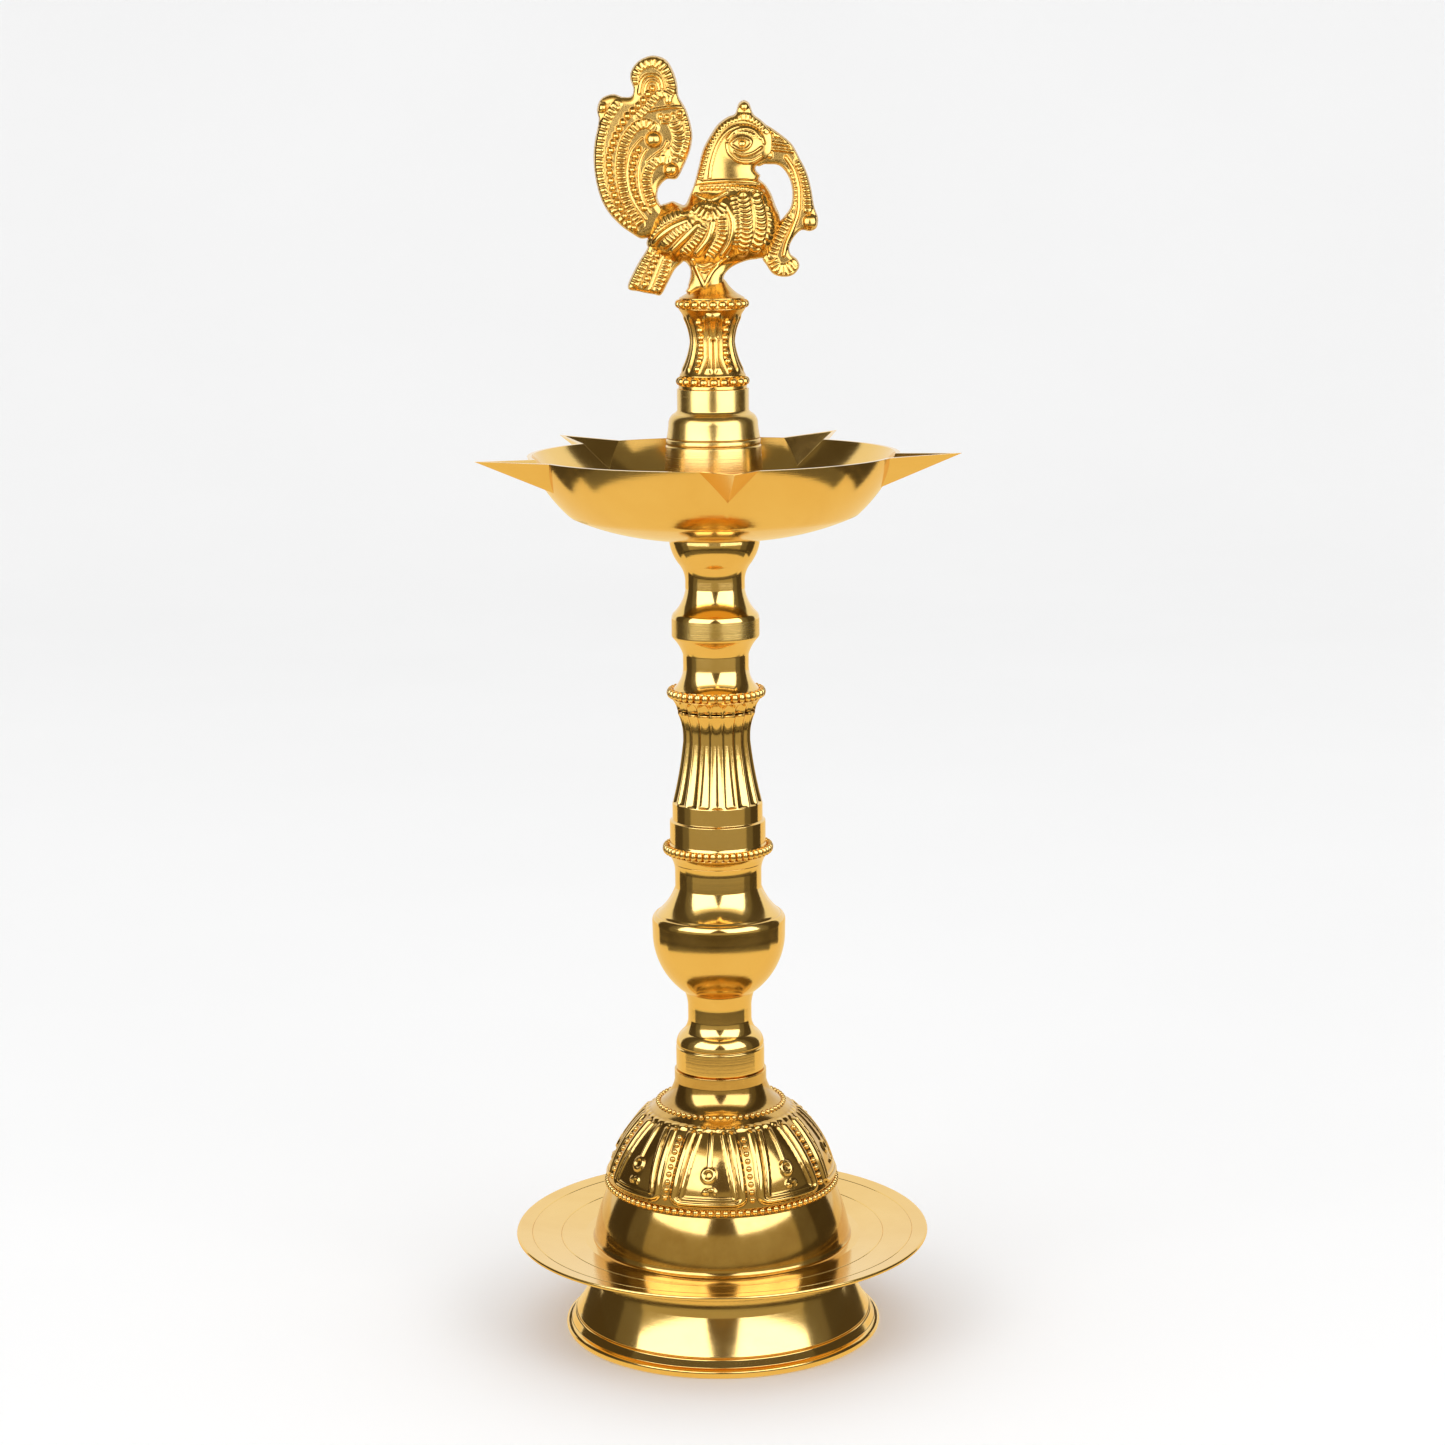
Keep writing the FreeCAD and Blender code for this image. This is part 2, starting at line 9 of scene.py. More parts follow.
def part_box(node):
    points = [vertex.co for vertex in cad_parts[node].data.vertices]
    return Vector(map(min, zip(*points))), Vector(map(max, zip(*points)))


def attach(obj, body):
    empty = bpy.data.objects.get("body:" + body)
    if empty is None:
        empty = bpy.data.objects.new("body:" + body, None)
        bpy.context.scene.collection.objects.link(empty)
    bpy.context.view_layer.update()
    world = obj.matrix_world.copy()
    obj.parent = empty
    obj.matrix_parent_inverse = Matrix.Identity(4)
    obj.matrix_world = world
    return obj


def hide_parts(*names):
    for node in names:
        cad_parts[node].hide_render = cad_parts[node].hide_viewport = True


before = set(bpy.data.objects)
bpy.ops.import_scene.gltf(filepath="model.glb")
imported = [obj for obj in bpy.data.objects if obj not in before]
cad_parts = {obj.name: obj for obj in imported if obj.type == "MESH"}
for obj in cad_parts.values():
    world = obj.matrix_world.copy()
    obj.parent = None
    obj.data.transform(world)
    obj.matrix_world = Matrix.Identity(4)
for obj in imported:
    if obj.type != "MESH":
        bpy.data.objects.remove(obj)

MM = 0.001
TAU = 2.0 * math.pi
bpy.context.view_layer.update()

# ---------------------------------------------------------------- turned sections, in mm
# (radius, height above the piece's base, bend of the stretch that arrives here)
SECTIONS = {
    "foot_ring": [
        (52.4, 0, 0), (55.4, 0, 0), (57, 1.2, 1.6), (57, 2.2, 0), (55.1, 3.4, 2.2),
        (53.9, 5.9, 0), (53.5, 6.25, 0), (53, 6.1, 0), (53.2, 6.6, 0), (46.5, 18.6, -90),
        (45.2, 25, -20), (45.2, 32.4, 0), (37.5, 32.4, 0), (37.5, 35.9, 0), (35.5, 35.9, 0),
        (35.5, 29.6, 0), (41.6, 29.6, 0), (43.2, 22.6, 0), (49.8, 6.2, -46), (52.4, 2.6, 0),
    ],
    "drip_plate": [
        (37.7, 0, 0), (50, 0, 0), (73.9, 2.9, 0), (74.5, 3.5, 0.7), (74.1, 4.4, 1.1),
        (69.1, 3.8, 0), (68.9, 3.5, 0), (68.7, 3.75, 0), (58.6, 2.54, 0), (58.4, 2.24, 0),
        (58.2, 2.49, 0), (50, 1.5, 0), (37.7, 1.5, 0),
    ],
    "bell_dome": [
        (43.4, 0, 0), (46.9, 0, 0), (46.9, 0.4, 0), (46.2, 2.2, -3.7), (40.5, 19.2, 60),
        (40.4, 19.9, 0), (40.4, 22.2, 0), (41.2, 22.4, 0), (22.2, 50.3, 44.9), (16.5, 58.2, -10.8),
        (16.5, 62.3, 0), (6.08, 62.3, 0), (6.08, 46.2, 0), (14, 46.2, 0), (17.5, 48.8, 0),
        (37.9, 22, 42), (38.4, 15, 0), (39.6, 9, 0),
    ],
    "lower_stem": [
        (6.08, 0, 0), (15.3, 0, 0), (15.85, 0.55, 0), (15.85, 8.4, 0), (15.3, 8.9, 0),
        (15.75, 9.4, 0), (13.2, 14.1, 6), (11.4, 18.6, -7), (11.4, 23, 0), (12.5, 28.7, -16),
        (23.7, 50.6, 26.5), (23.8, 54.6, 0), (22.6, 57.4, 3.4), (22.1, 57.3, 0), (21.5, 58.1, 0),
        (15.4, 67.2, -21), (15.4, 73, 0),
        (15.9, 76, -9.5), (6.08, 76, 0),
    ],
    "middle_stem": [
        (6.08, 0, 0), (15.9, 0, 0), (17.9, 3.4, -8), (17.4, 4, 0), (17.4, 6.7, 0), (17, 7.4, 0),
        (17, 15.3, 0), (16, 15.7, 0), (16, 21.6, 0), (12, 44, -150), (12, 46, 0),
        (13.8, 54, -19), (13.8, 55, 0), (6.08, 55, 0),
    ],
    "upper_stem": [
        (6.08, 0, 0), (13.9, 0, 0), (16.1, 4.4, -7), (15.2, 5, 0), (15.2, 7.6, 0),
        (11.6, 16.4, -10.5), (11.6, 19.8, 0), (15.1, 25.8, -14), (15.46, 26.5, 0), (15.46, 32.5, 0),
        (14.9, 34.5, 3.2), (10.5, 43.2, -14), (10.5, 46.2, 0), (12.5, 51.7, -9.5), (15.9, 59.6, 16),
        (15.9, 61.5, 0), (6.08, 61.5, 0),
    ],
    "collar": [
        (6.08, 0, 0), (19, 0, 0), (19, 1.2, 0), (17.2, 20, -120), (16.6, 29.2, 0),
        (16.15, 29.6, 0), (16.5, 30, 0), (16.45, 31.4, 0), (16.05, 31.75, 0),
        (16.3, 32.1, 0), (15.6, 37, -30), (13.9, 40.3, 4), (12.5, 41.6, -3),
        (12.5, 49, 0), (5.08, 49, 0), (5.08, 35.5, 0), (11, 31.5, 0), (12.5, 21, 0),
        (6.08, 17, 0),
    ],
}


def stretch(start, end, bend, count):
    """Points from start to end, straight or on an arc of radius |bend|."""
    chord = end - start
    if not bend:
        return start + chord * np.linspace(0, 1, count)[:, None]
    half = np.hypot(*chord) / 2.0
    radius = max(abs(bend), half * 1.0001)
    left = np.array([-chord[1], chord[0]]) / (2.0 * half)
    reach = math.sqrt(radius * radius - half * half) * (1 if bend > 0 else -1)
    centre = (start + end) / 2.0 + left * reach
    a0 = math.atan2(*(start - centre)[::-1])
    a1 = math.atan2(*(end - centre)[::-1])
    turn = (a1 - a0 + math.pi) % TAU - math.pi
    angles = a0 + turn * np.linspace(0, 1, count)
    return centre + radius * np.stack([np.cos(angles), np.sin(angles)], axis=1)


def distances(line):
    """Distance of each point of a line from its start, along the line."""
    return np.concatenate([[0], np.cumsum(np.hypot(*np.diff(line, axis=0).T))])


def points_at(line, where):
    """Points at some distances along a line."""
    reached = distances(line)
    return np.stack([np.interp(where, reached, line[:, k]) for k in (0, 1)], axis=1)


ROUNDING = 0.22     # how far a turned corner is rounded off, in mm
SHARP = 10.0        # the least change of direction that counts as a corner, in degrees
EDGE_ROW = 0.2      # an extra row this close to both ends of a stretch keeps the shading flat


def trace(stations, step=1.1, fine_runs=None):
    """Sample a closed section finely and round its corners. Returns an (n, 2) array in mm.

    fine_runs gives some stretches a step of their own.
    """
    fine_runs = fine_runs or {}
    corners = [np.array(s[:2], float) for s in stations]
    runs = [stretch(corners[i - 1], corners[i], s[2], 60) for i, s in enumerate(stations)]
    cuts = []
    for before, after in zip(runs, runs[1:] + runs[:1]):
        u, v = before[-1] - before[-2], after[1] - after[0]
        angle = math.degrees(math.acos(np.clip(u @ v / (np.hypot(*u) * np.hypot(*v)), -1, 1)))
        room = 0.35 * min(distances(before)[-1], distances(after)[-1])
        cuts.append(min(ROUNDING, room) if angle > SHARP else 0.0)
    out = []
    for i, run in enumerate(runs):
        low, high = cuts[i - 1], distances(run)[-1] - cuts[i]
        count = max(2, int(math.ceil((high - low) / fine_runs.get(i, step))) + 1)
        if stations[i][2]:
            count = max(count, 6)
        where = list(np.linspace(low, high, count))
        if high - low > 6 * EDGE_ROW:
            where += [low + EDGE_ROW, high - EDGE_ROW]
        out.append(points_at(run, sorted(where)))
        if cuts[i] > 0:
            before = out[-1][-1]
            after = points_at(runs[(i + 1) % len(runs)], [cuts[i]])[0]
            for t in (0.25, 0.5, 0.75):
                bend = (1 - t) ** 2 * before + 2 * t * (1 - t) * corners[i] + t * t * after
                out.append(bend[None])
    line = np.concatenate(out)
    keep = np.hypot(*(line - np.roll(line, 1, axis=0)).T) > 1e-4
    return line[keep]


def lathe(line, level, around=192, shape=None):
    """Grid of points of a closed section turned about Z. shape(theta, r, z) gives an outward push in mm."""
    theta = np.arange(around) * TAU / around
    r = np.repeat(line[:, 0][:, None], around, axis=1)
    z = np.repeat(line[:, 1][:, None], around, axis=1)
    if shape is not None:
        before, after = np.roll(line, 1, axis=0), np.roll(line, -1, axis=0)
        tangent = after - before
        tangent /= np.maximum(np.hypot(*tangent.T), 1e-9)[:, None]
        normal = np.stack([tangent[:, 1], -tangent[:, 0]], axis=1)
        push = shape(np.repeat(theta[None], len(line), axis=0), r, z)
        r = r + push * normal[:, :1]
        z = z + push * normal[:, 1:]
    grid = np.stack([r * np.cos(theta), r * np.sin(theta), z + level], axis=-1) * MM
    rows, cols = grid.shape[:2]
    index = np.arange(rows * cols).reshape(rows, cols)
    down = np.roll(index, -1, axis=0)
    faces = np.stack([index, np.roll(index, -1, axis=1), np.roll(down, -1, axis=1), down], axis=-1)
    return grid.reshape(-1, 3), faces.reshape(-1, 4)


def polar(radius, angle, height):
    """Point round the lamp's axis, in metres; the radius and the height are in mm."""
    return np.array([radius * math.cos(angle), radius * math.sin(angle), height]) * MM


def ball(rings=7, segments=10):
    """Unit sphere as points and faces: quads, and triangles at the poles."""
    verts = [(0, 0, 1)]
    for i in range(1, rings):
        a = math.pi * i / rings
        for b in (TAU * k / segments for k in range(segments)):
            verts.append((math.sin(a) * math.cos(b), math.sin(a) * math.sin(b), math.cos(a)))
    verts.append((0, 0, -1))
    faces = []
    for k in range(segments):
        faces.append((0, 1 + k, 1 + (k + 1) % segments))
    for i in range(rings - 2):
        for k in range(segments):
            a = 1 + i * segments + k
            b = 1 + i * segments + (k + 1) % segments
            faces.append((a, a + segments, b + segments, b))
    last = len(verts) - 1
    base = 1 + (rings - 2) * segments
    for k in range(segments):
        faces.append((last, base + (k + 1) % segments, base + k))
    return np.array(verts, float), faces


BALL = ball()


def new_object(name, verts, faces, smooth=False):
    """Mesh object in the scene."""
    mesh = bpy.data.meshes.new(name)
    mesh.from_pydata(verts, [], faces)
    mesh.validate()
    mesh.update()
    mesh.polygons.foreach_set("use_smooth", [smooth] * len(mesh.polygons))
    obj = bpy.data.objects.new(name, mesh)
    bpy.context.scene.collection.objects.link(obj)
    return obj


class Pile:
    """Collects closed shells into one mesh."""

    def __init__(self):
        self.verts, self.faces, self.count = [], [], 0

    def add(self, verts, faces):
        self.verts.append(np.asarray(verts, float))
        self.faces += [tuple(int(v) + self.count for v in f) for f in faces]
        self.count += len(verts)

    def bead(self, centre, size):
        """A ball, or an ellipsoid if size has three numbers; metres."""
        self.add(BALL[0] * size + np.asarray(centre), BALL[1])

    def bead_ring(self, radius, level, size, count, turn=0.0, tall=1.0):
        """A ring of beads, in mm; tall stretches them upwards."""
        for k in range(count):
            self.bead(polar(radius, turn + TAU * k / count, level), np.array([size, size, size * tall]) * MM)

    def make(self, name):
        return new_object(name, np.concatenate(self.verts).tolist(), self.faces, smooth=True)


def level_of(node):
    """Height of a node's lowest point, in mm."""
    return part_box(node)[0].z / MM


# ---------------------------------------------------------------- materials


def nodes_of(name):
    """A new node material: its tree, its shader and a helper that adds nodes."""
    mat = bpy.data.materials.new(name)
    mat.use_nodes = True
    tree = mat.node_tree
    shader = tree.nodes["Principled BSDF"]

    def add(kind, **values):
        node = tree.nodes.new(kind)
        for key, value in values.items():
            if key in node.inputs.keys():
                node.inputs[key].default_value = value
            else:
                setattr(node, key, value)
        return node

    return mat, tree.links.new, shader, add


def ramp(add, link, source, stops):
    """A colour ramp fed by a value."""
    node = add("ShaderNodeValToRGB")
    elements = node.color_ramp.elements
    while len(elements) < len(stops):
        elements.new(0.5)
    for element, (at, colour) in zip(elements, stops):
        element.position = at
        element.color = (*colour, 1.0)
    link(source, node.inputs["Fac"])
    return node


def noise(add, link, vector, **values):
    """Noise of a position."""
    node = add("ShaderNodeTexNoise", **values)
    link(vector, node.inputs["Vector"])
    return node.outputs["Fac"]


def multiply(add, link, first, second):
    """Product of two colours."""
    node = add("ShaderNodeMix", data_type="RGBA", blend_type="MULTIPLY")
    node.inputs["Factor"].default_value = 1.0
    link(first, node.inputs["A"])
    link(second, node.inputs["B"])
    return node.outputs["Result"]


def bumps(add, link, layers):
    """Normal roughened by layers of height, strength and depth in metres."""
    normal = None
    for height, strength, deep in layers:
        node = add("ShaderNodeBump", Strength=strength, Distance=deep)
        link(height, node.inputs["Height"])
        if normal:
            link(normal, node.inputs["Normal"])
        normal = node.outputs[0]
    return normal


def grey(v):
    return (v, v, v)


def turned_brass(name, bright, deep, rough=(0.07, 0.17), lines=0.35):
    """Brass polished on a lathe: fine rings round the axis, soft smears and darker creases."""
    mat, link, shader, add = nodes_of(name)
    place_in = add("ShaderNodeTexCoord").outputs["Object"]
    split = add("ShaderNodeSeparateXYZ")
    link(place_in, split.inputs[0])
    flat = add("ShaderNodeCombineXYZ")
    link(split.outputs["X"], flat.inputs["X"])
    link(split.outputs["Y"], flat.inputs["Y"])
    radius = add("ShaderNodeVectorMath", operation="LENGTH")
    link(flat.outputs[0], radius.inputs[0])
    ring = add("ShaderNodeCombineXYZ")
    link(radius.outputs["Value"], ring.inputs["X"])
    link(split.outputs["Z"], ring.inputs["Y"])

    fine = noise(add, link, ring.outputs[0], Scale=2600.0, Detail=3.0, Roughness=0.6)
    broad = noise(add, link, ring.outputs[0], Scale=420.0, Detail=2.0, Roughness=0.5)
    smear = noise(add, link, place_in, Scale=34.0, Detail=5.0, Roughness=0.62, Distortion=0.5)
    pits = noise(add, link, place_in, Scale=700.0, Detail=2.0, Roughness=0.5)

    tone = ramp(add, link, smear, [(0.3, deep), (0.62, bright)])
    edge = add("ShaderNodeNewGeometry").outputs["Pointiness"]
    crease = ramp(add, link, edge, [(0.455, grey(0.65)), (0.49, grey(1.0))])
    link(multiply(add, link, tone.outputs["Color"], crease.outputs["Color"]), shader.inputs["Base Color"])

    mix = add("ShaderNodeMath", operation="MULTIPLY_ADD")
    link(fine, mix.inputs[0])
    mix.inputs[1].default_value = 0.5
    link(smear, mix.inputs[2])
    gloss = add("ShaderNodeMapRange")
    gloss.inputs["From Min"].default_value = 0.45
    gloss.inputs["From Max"].default_value = 1.0
    gloss.inputs["To Min"].default_value = rough[0]
    gloss.inputs["To Max"].default_value = rough[1]
    link(mix.outputs[0], gloss.inputs["Value"])
    link(gloss.outputs[0], shader.inputs["Roughness"])

    layers = [(fine, lines, 0.00002), (broad, lines * 0.6, 0.00006), (pits, 0.08, 0.00004)]
    link(bumps(add, link, layers), shader.inputs["Normal"])
    shader.inputs["Metallic"].default_value = 1.0
    return mat


def cast_brass(name, bright, deep, rough, grain):
    """Brass left as cast and chased: grainy, bright on the raised work, dark in the recesses."""
    mat, link, shader, add = nodes_of(name)
    place_in = add("ShaderNodeTexCoord").outputs["Object"]
    edge = add("ShaderNodeNewGeometry").outputs["Pointiness"]
    low, high = 0.44, 0.53
    grainy = noise(add, link, place_in, Scale=1500.0, Detail=4.0, Roughness=0.65)
    blotch = noise(add, link, place_in, Scale=120.0, Detail=4.0, Roughness=0.6)
    tone = ramp(add, link, edge, [(low, deep), (high, bright)])
    tint = ramp(add, link, blotch, [(0.3, (0.86, 0.80, 0.72)), (0.7, (1.0, 1.0, 1.0))])
    link(multiply(add, link, tone.outputs["Color"], tint.outputs["Color"]), shader.inputs["Base Color"])
    gloss = ramp(add, link, edge, [(low, grey(rough[1])), (high, grey(rough[0]))])
    link(gloss.outputs["Color"], shader.inputs["Roughness"])
    link(bumps(add, link, [(grainy, grain, 0.00005)]), shader.inputs["Normal"])
    shader.inputs["Metallic"].default_value = 1.0
    return mat


POLISHED = turned_brass("polished_brass", (0.91, 0.61, 0.20), (0.87, 0.56, 0.165))
SATIN = turned_brass("satin_brass", (0.86, 0.59, 0.19), (0.78, 0.51, 0.15), rough=(0.17, 0.3), lines=0.9)
CAST = cast_brass("cast_brass", (0.91, 0.60, 0.17), (0.50, 0.27, 0.06), rough=(0.17, 0.32), grain=0.15)
CHASED = cast_brass("chased_brass", (0.91, 0.61, 0.20), (0.40, 0.21, 0.04), rough=(0.07, 0.22), grain=0.1)
SCREW = turned_brass("screw_brass", (0.80, 0.56, 0.22), (0.66, 0.45, 0.17), rough=(0.22, 0.36), lines=0.7)


def place(obj, body, node, material):
    """Give a piece its material and let it stand for its CAD node."""
    obj.data.materials.clear()
    obj.data.materials.append(material)
    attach(obj, body)
    if node:
        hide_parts(node)


# ---------------------------------------------------------------- turned pieces


def plain_piece(node, body, around=192, material=POLISHED):
    """Piece that is only turned."""
    pile = Pile()
    pile.add(*lathe(trace(SECTIONS[node]), level_of(node), around))
    place(pile.make(node + "_turned"), body, node, material)


FLUTES = 20


def flute_push(theta, r, z, low=21.9, high=60.0, core=9.0):
    """Wide hollow flutes, square at the foot and round at the head."""
    pitch = TAU / FLUTES
    across = ((theta / pitch + 0.5) % 1.0 - 0.5) * 2.0
    half = r * pitch / 2.0 * 0.95
    u = across * r * pitch / 2.0
    head = np.sqrt(1.0 - (1.0 - np.clip((high - z) / half, 0, 1)) ** 2)
    foot = np.clip((z - low) / 0.5, 0, 1)
    hollow = np.clip(1.0 - (u / (half * np.maximum(head, 1e-3))) ** 2, 0, 1) ** 0.8
    on = (r > core) & (z > low) & (z < high)
    depth = 0.85 * np.clip(head * 1.6, 0, 1)
    return np.where(on, -depth * hollow * foot, 0.0)


def middle_stem():
    """Fluted piece, with a ring of beads under the flutes."""
    pile = Pile()
    level = level_of("middle_stem")
    pile.add(*lathe(trace(SECTIONS["middle_stem"], step=0.75), level, 400, flute_push))
    pile.bead_ring(18.6, level + 5.3, 1.12, 49, tall=1.55)
    place(pile.make("middle_stem_fluted"), "middle_stem", "middle_stem", POLISHED)


def flute_heads(theta, r, z):
    """Round heads of the middle stem's flutes, on the foot of the stem above."""
    return flute_push(theta, r, z, -1.0, 4.1, 13.0)


def upper_stem():
    """Goblet that carries the bowl, with a ring of beads at its foot and a satin band."""
    pile = Pile()
    level = level_of("upper_stem")
    pile.add(*lathe(trace(SECTIONS["upper_stem"], fine_runs={2: 0.4}), level, 360, flute_heads))
    pile.bead_ring(16.3, level + 6.3, 1.24, 38, tall=1.4)
    obj = pile.make("upper_stem_goblet")
    place(obj, "upper_stem", "upper_stem", POLISHED)
    obj.data.materials.append(SATIN)
    band, half, least = 29.5, 3.1, 15.0
    for face in obj.data.polygons:
        if abs(face.center.z / MM - level - band) < half and math.hypot(*face.center.xy) > least * MM:
            face.material_index = 1


# ---------------------------------------------------------------- bell

PANELS = 8
PANEL_TURN = math.radians(-97.0)
DOME_RADIUS = 44.9
DOME_AXIS, DOME_CENTRE = -2.76, 13.05


def dome_arc(z):
    """Distance up the dome, in mm, from the level of its centre."""
    return DOME_RADIUS * np.arcsin(np.clip((z - DOME_CENTRE) / DOME_RADIUS, -1, 1))


def dome_point(arc):
    """Radius and height at a distance up the dome."""
    a = arc / DOME_RADIUS
    return DOME_AXIS + DOME_RADIUS * math.cos(a), DOME_CENTRE + DOME_RADIUS * math.sin(a)


def hump(x, half):
    """Rounded ridge of height 1 centred on 0."""
    return np.clip(1.0 - (x / half) ** 2, 0, 1) ** 0.6


def panel_push(theta, r, z):
    """Framed panels with a stem, a ring, a ball and a curl in each."""
    pitch = TAU / PANELS
    a = (theta - PANEL_TURN + pitch / 2) % pitch - pitch / 2
    u = a * r
    up = dome_arc(z)
    foot, head, wide, narrow = 13.2, 37.2, 9.0, 3.1     # of the recess, up the dome and to each side
    column, sill = 1.9, 2.9                             # room for the bead columns, width of the lower rim
    t = np.clip((up - foot) / (head - foot), 0, 1)
    recess = wide + (narrow - wide) * t
    side = (np.abs(u) - recess) / np.maximum(pitch / 2 * r - column - recess, 0.5)
    below = (foot - up) / sill
    d = np.where((side > 0) & (below > 0), np.hypot(side, below), np.maximum(side, below))
    frame_high = 0.62 * hump(d - 0.17, 0.17) + 0.95 * hump(d - 0.70, 0.29)
    frame_high = np.where(d < 0, -0.12, frame_high)

    stem = 0.55 * hump(u, 0.75) * (up > 23.4)
    ring = 0.7 * hump(np.hypot(u, up - 21.5) - 2.05, 0.75)
    ball = 0.8 * hump(np.hypot(u + 0.95, up - 15.7), 1.1)
    curl = 0.6 * hump(np.hypot(u - 1.2, up - 15.4) - 1.25, 0.5) * (up > 15.0)
    motif = np.maximum.reduce([stem, ring, ball, curl])
    high = np.where(d < 0, np.maximum(frame_high, motif), frame_high)
    end = np.clip((37.9 - up) / 1.2, 0, 1) * np.clip((up - 9.7) / 0.6, 0, 1)

    lumps = 0.55 * hump(up - 38.6, 1.0) * (0.35 + 0.65 * np.abs(np.sin(theta * 24 - PANEL_TURN)))
    on = (r > 15.0) & (z > 22.45)
    outer = np.hypot(r - DOME_AXIS, z - DOME_CENTRE) > DOME_RADIUS - 1.2
    return np.where(on & outer, high * end + lumps * (up > 37.0), 0.0)


def bell():
    """Dome with framed panels, two rows of beads and a column of beads between panels."""
    line = trace(SECTIONS["bell_dome"], step=3.0, fine_runs={4: 0.9, 8: 0.5})
    level = level_of("bell_dome")
    pile = Pile()
    pile.add(*lathe(line, level, 560, panel_push))
    place(pile.make("bell_dome_relief"), "base", "bell_dome", CHASED)

    beads = Pile()
    beads.bead_ring(41.2, level + 21.05, 1.25, 98)
    beads.bead_ring(22.6, level + 50.1, 0.98, 60)
    for k in range(PANELS):
        a = PANEL_TURN + (k + 0.5) * TAU / PANELS
        for n in range(9):
            r, z = dome_point(12.4 + 2.72 * n)
            beads.bead(polar(r, a, z + level), 1.12 * MM)
    place(beads.make("bell_beads"), "base", None, CHASED)


# ---------------------------------------------------------------- bowl

SPOUTS = 5
SPOUT_TURN = math.radians(-85.5)
RIM = 28.9


def open_run(points, step):
    """Sample an open run of (radius, height, bend) stations."""
    fine = 80
    out = [np.array([points[0][:2]], float)]
    for before, now in zip(points, points[1:]):
        line = stretch(np.array(before[:2], float), np.array(now[:2], float), now[2], fine)
        count = max(1, int(math.ceil(distances(line)[-1] / step)))
        out.append(line[np.linspace(0, fine - 1, count + 1).round().astype(int)][1:])
    return np.concatenate(out)


def bowl():
    """Round dish whose wall opens into five pointed vee spouts."""
    outside = open_run([(6.3, 0.0, 0), (20.0, 0.0, 0), (50.5, 7.8, 89.0), (64.9, RIM, 55.0)], 1.6)
    inside = open_run([(6.3, 2.5, 0), (21.0, 2.5, 0), (49.5, 9.8, 84.0), (63.3, RIM, 53.0)], 1.6)
    mouth, mouth_in, settle = math.radians(8.75), math.radians(7.45), math.radians(13.0)
    deep, deep_in = 11.0, 9.5
    tip, tip_in = np.array([87.6, 30.1]), np.array([84.4, 29.9])
    half_steps, sector = 9, TAU / SPOUTS
    near = list(np.linspace(-mouth, mouth, 2 * half_steps + 1))
    far = list(np.linspace(mouth, settle, 4)[1:]) + list(np.linspace(settle, sector - settle, 25)[1:])
    far += list(np.linspace(sector - settle, sector - mouth, 4)[1:-1])
    local = near + far
    wall_rows, spout_rows = 44, 16
    level = level_of("bowl")
    verts, faces = [], []

    def vert(r, z, angle):
        verts.append(tuple(polar(r, angle, z + level).tolist()))
        return len(verts) - 1

    def wall(line, top_z, angle):
        """A column of points up a wall, ending at a height."""
        reached = distances(line)
        end = np.interp(top_z, line[:, 1], reached) if top_z < line[-1, 1] else reached[-1]
        return [vert(r, z, angle) for r, z in points_at(line, np.linspace(0, 1, wall_rows) ** 0.85 * end)]

    def ray(start, point, angle):
        """Points from a vertex out to a spout's tip."""
        a = Vector(verts[start])
        b = Vector(polar(point[0], angle, point[1] + level))
        column = [start]
        for k in range(1, spout_rows):
            p = a.lerp(b, k / spout_rows)
            verts.append(tuple(p))
            column.append(len(verts) - 1)
        return column

    columns = []
    for spout in range(SPOUTS):
        axis = SPOUT_TURN + spout * sector
        tips = (vert(*tip, axis), vert(*tip_in, axis))
        for k, a in enumerate(local):
            folded = a if a < sector / 2 else a - sector
            centre = axis if a < sector / 2 else axis + sector
            size = abs(folded)
            in_mouth = size <= mouth + 1e-9
            drop = max(0.0, 1.0 - size / mouth)
            if size <= mouth:
                inner = folded * mouth_in / mouth
            elif size <= settle:
                share = (size - mouth) / (settle - mouth)
                inner = math.copysign(mouth_in + share * (settle - mouth_in), folded)
            else:
                inner = folded
            out_col = wall(outside, RIM - deep * drop, centre + folded)
            in_col = wall(inside, RIM - deep_in * drop, centre + inner)
            out_ray = in_ray = None
            if in_mouth:
                out_ray = ray(out_col[-1], tip, axis) + [tips[0]]
                in_ray = ray(in_col[-1], tip_in, axis) + [tips[1]]
            columns.append((out_col, in_col, out_ray, in_ray, k == 0, k == 2 * half_steps))

    def strip(a, b, flip=False):
        for i in range(len(a) - 1):
            quad = (a[i], b[i], b[i + 1], a[i + 1])
            quad = tuple(dict.fromkeys(quad))
            if len(quad) > 2:
                faces.append(quad[::-1] if flip else quad)

    total = len(columns)
    for i in range(total):
        a, b = columns[i], columns[(i + 1) % total]
        strip(a[0], b[0])
        strip(a[1], b[1], flip=True)
        faces.append((a[0][0], a[1][0], b[1][0], b[0][0]))
        both = a[2] is not None and b[2] is not None
        if both:
            strip(a[2], b[2])
            strip(a[3], b[3], flip=True)
        else:
            faces.append((a[0][-1], b[0][-1], b[1][-1], a[1][-1]))
        if a[4]:
            strip(a[2], a[3], flip=True)
        if a[5]:
            strip(a[2], a[3])
    obj = new_object("bowl_spouted", verts, faces)
    soften(obj, 0.28 * MM, 32.0)
    place(obj, "bowl", "bowl", POLISHED)


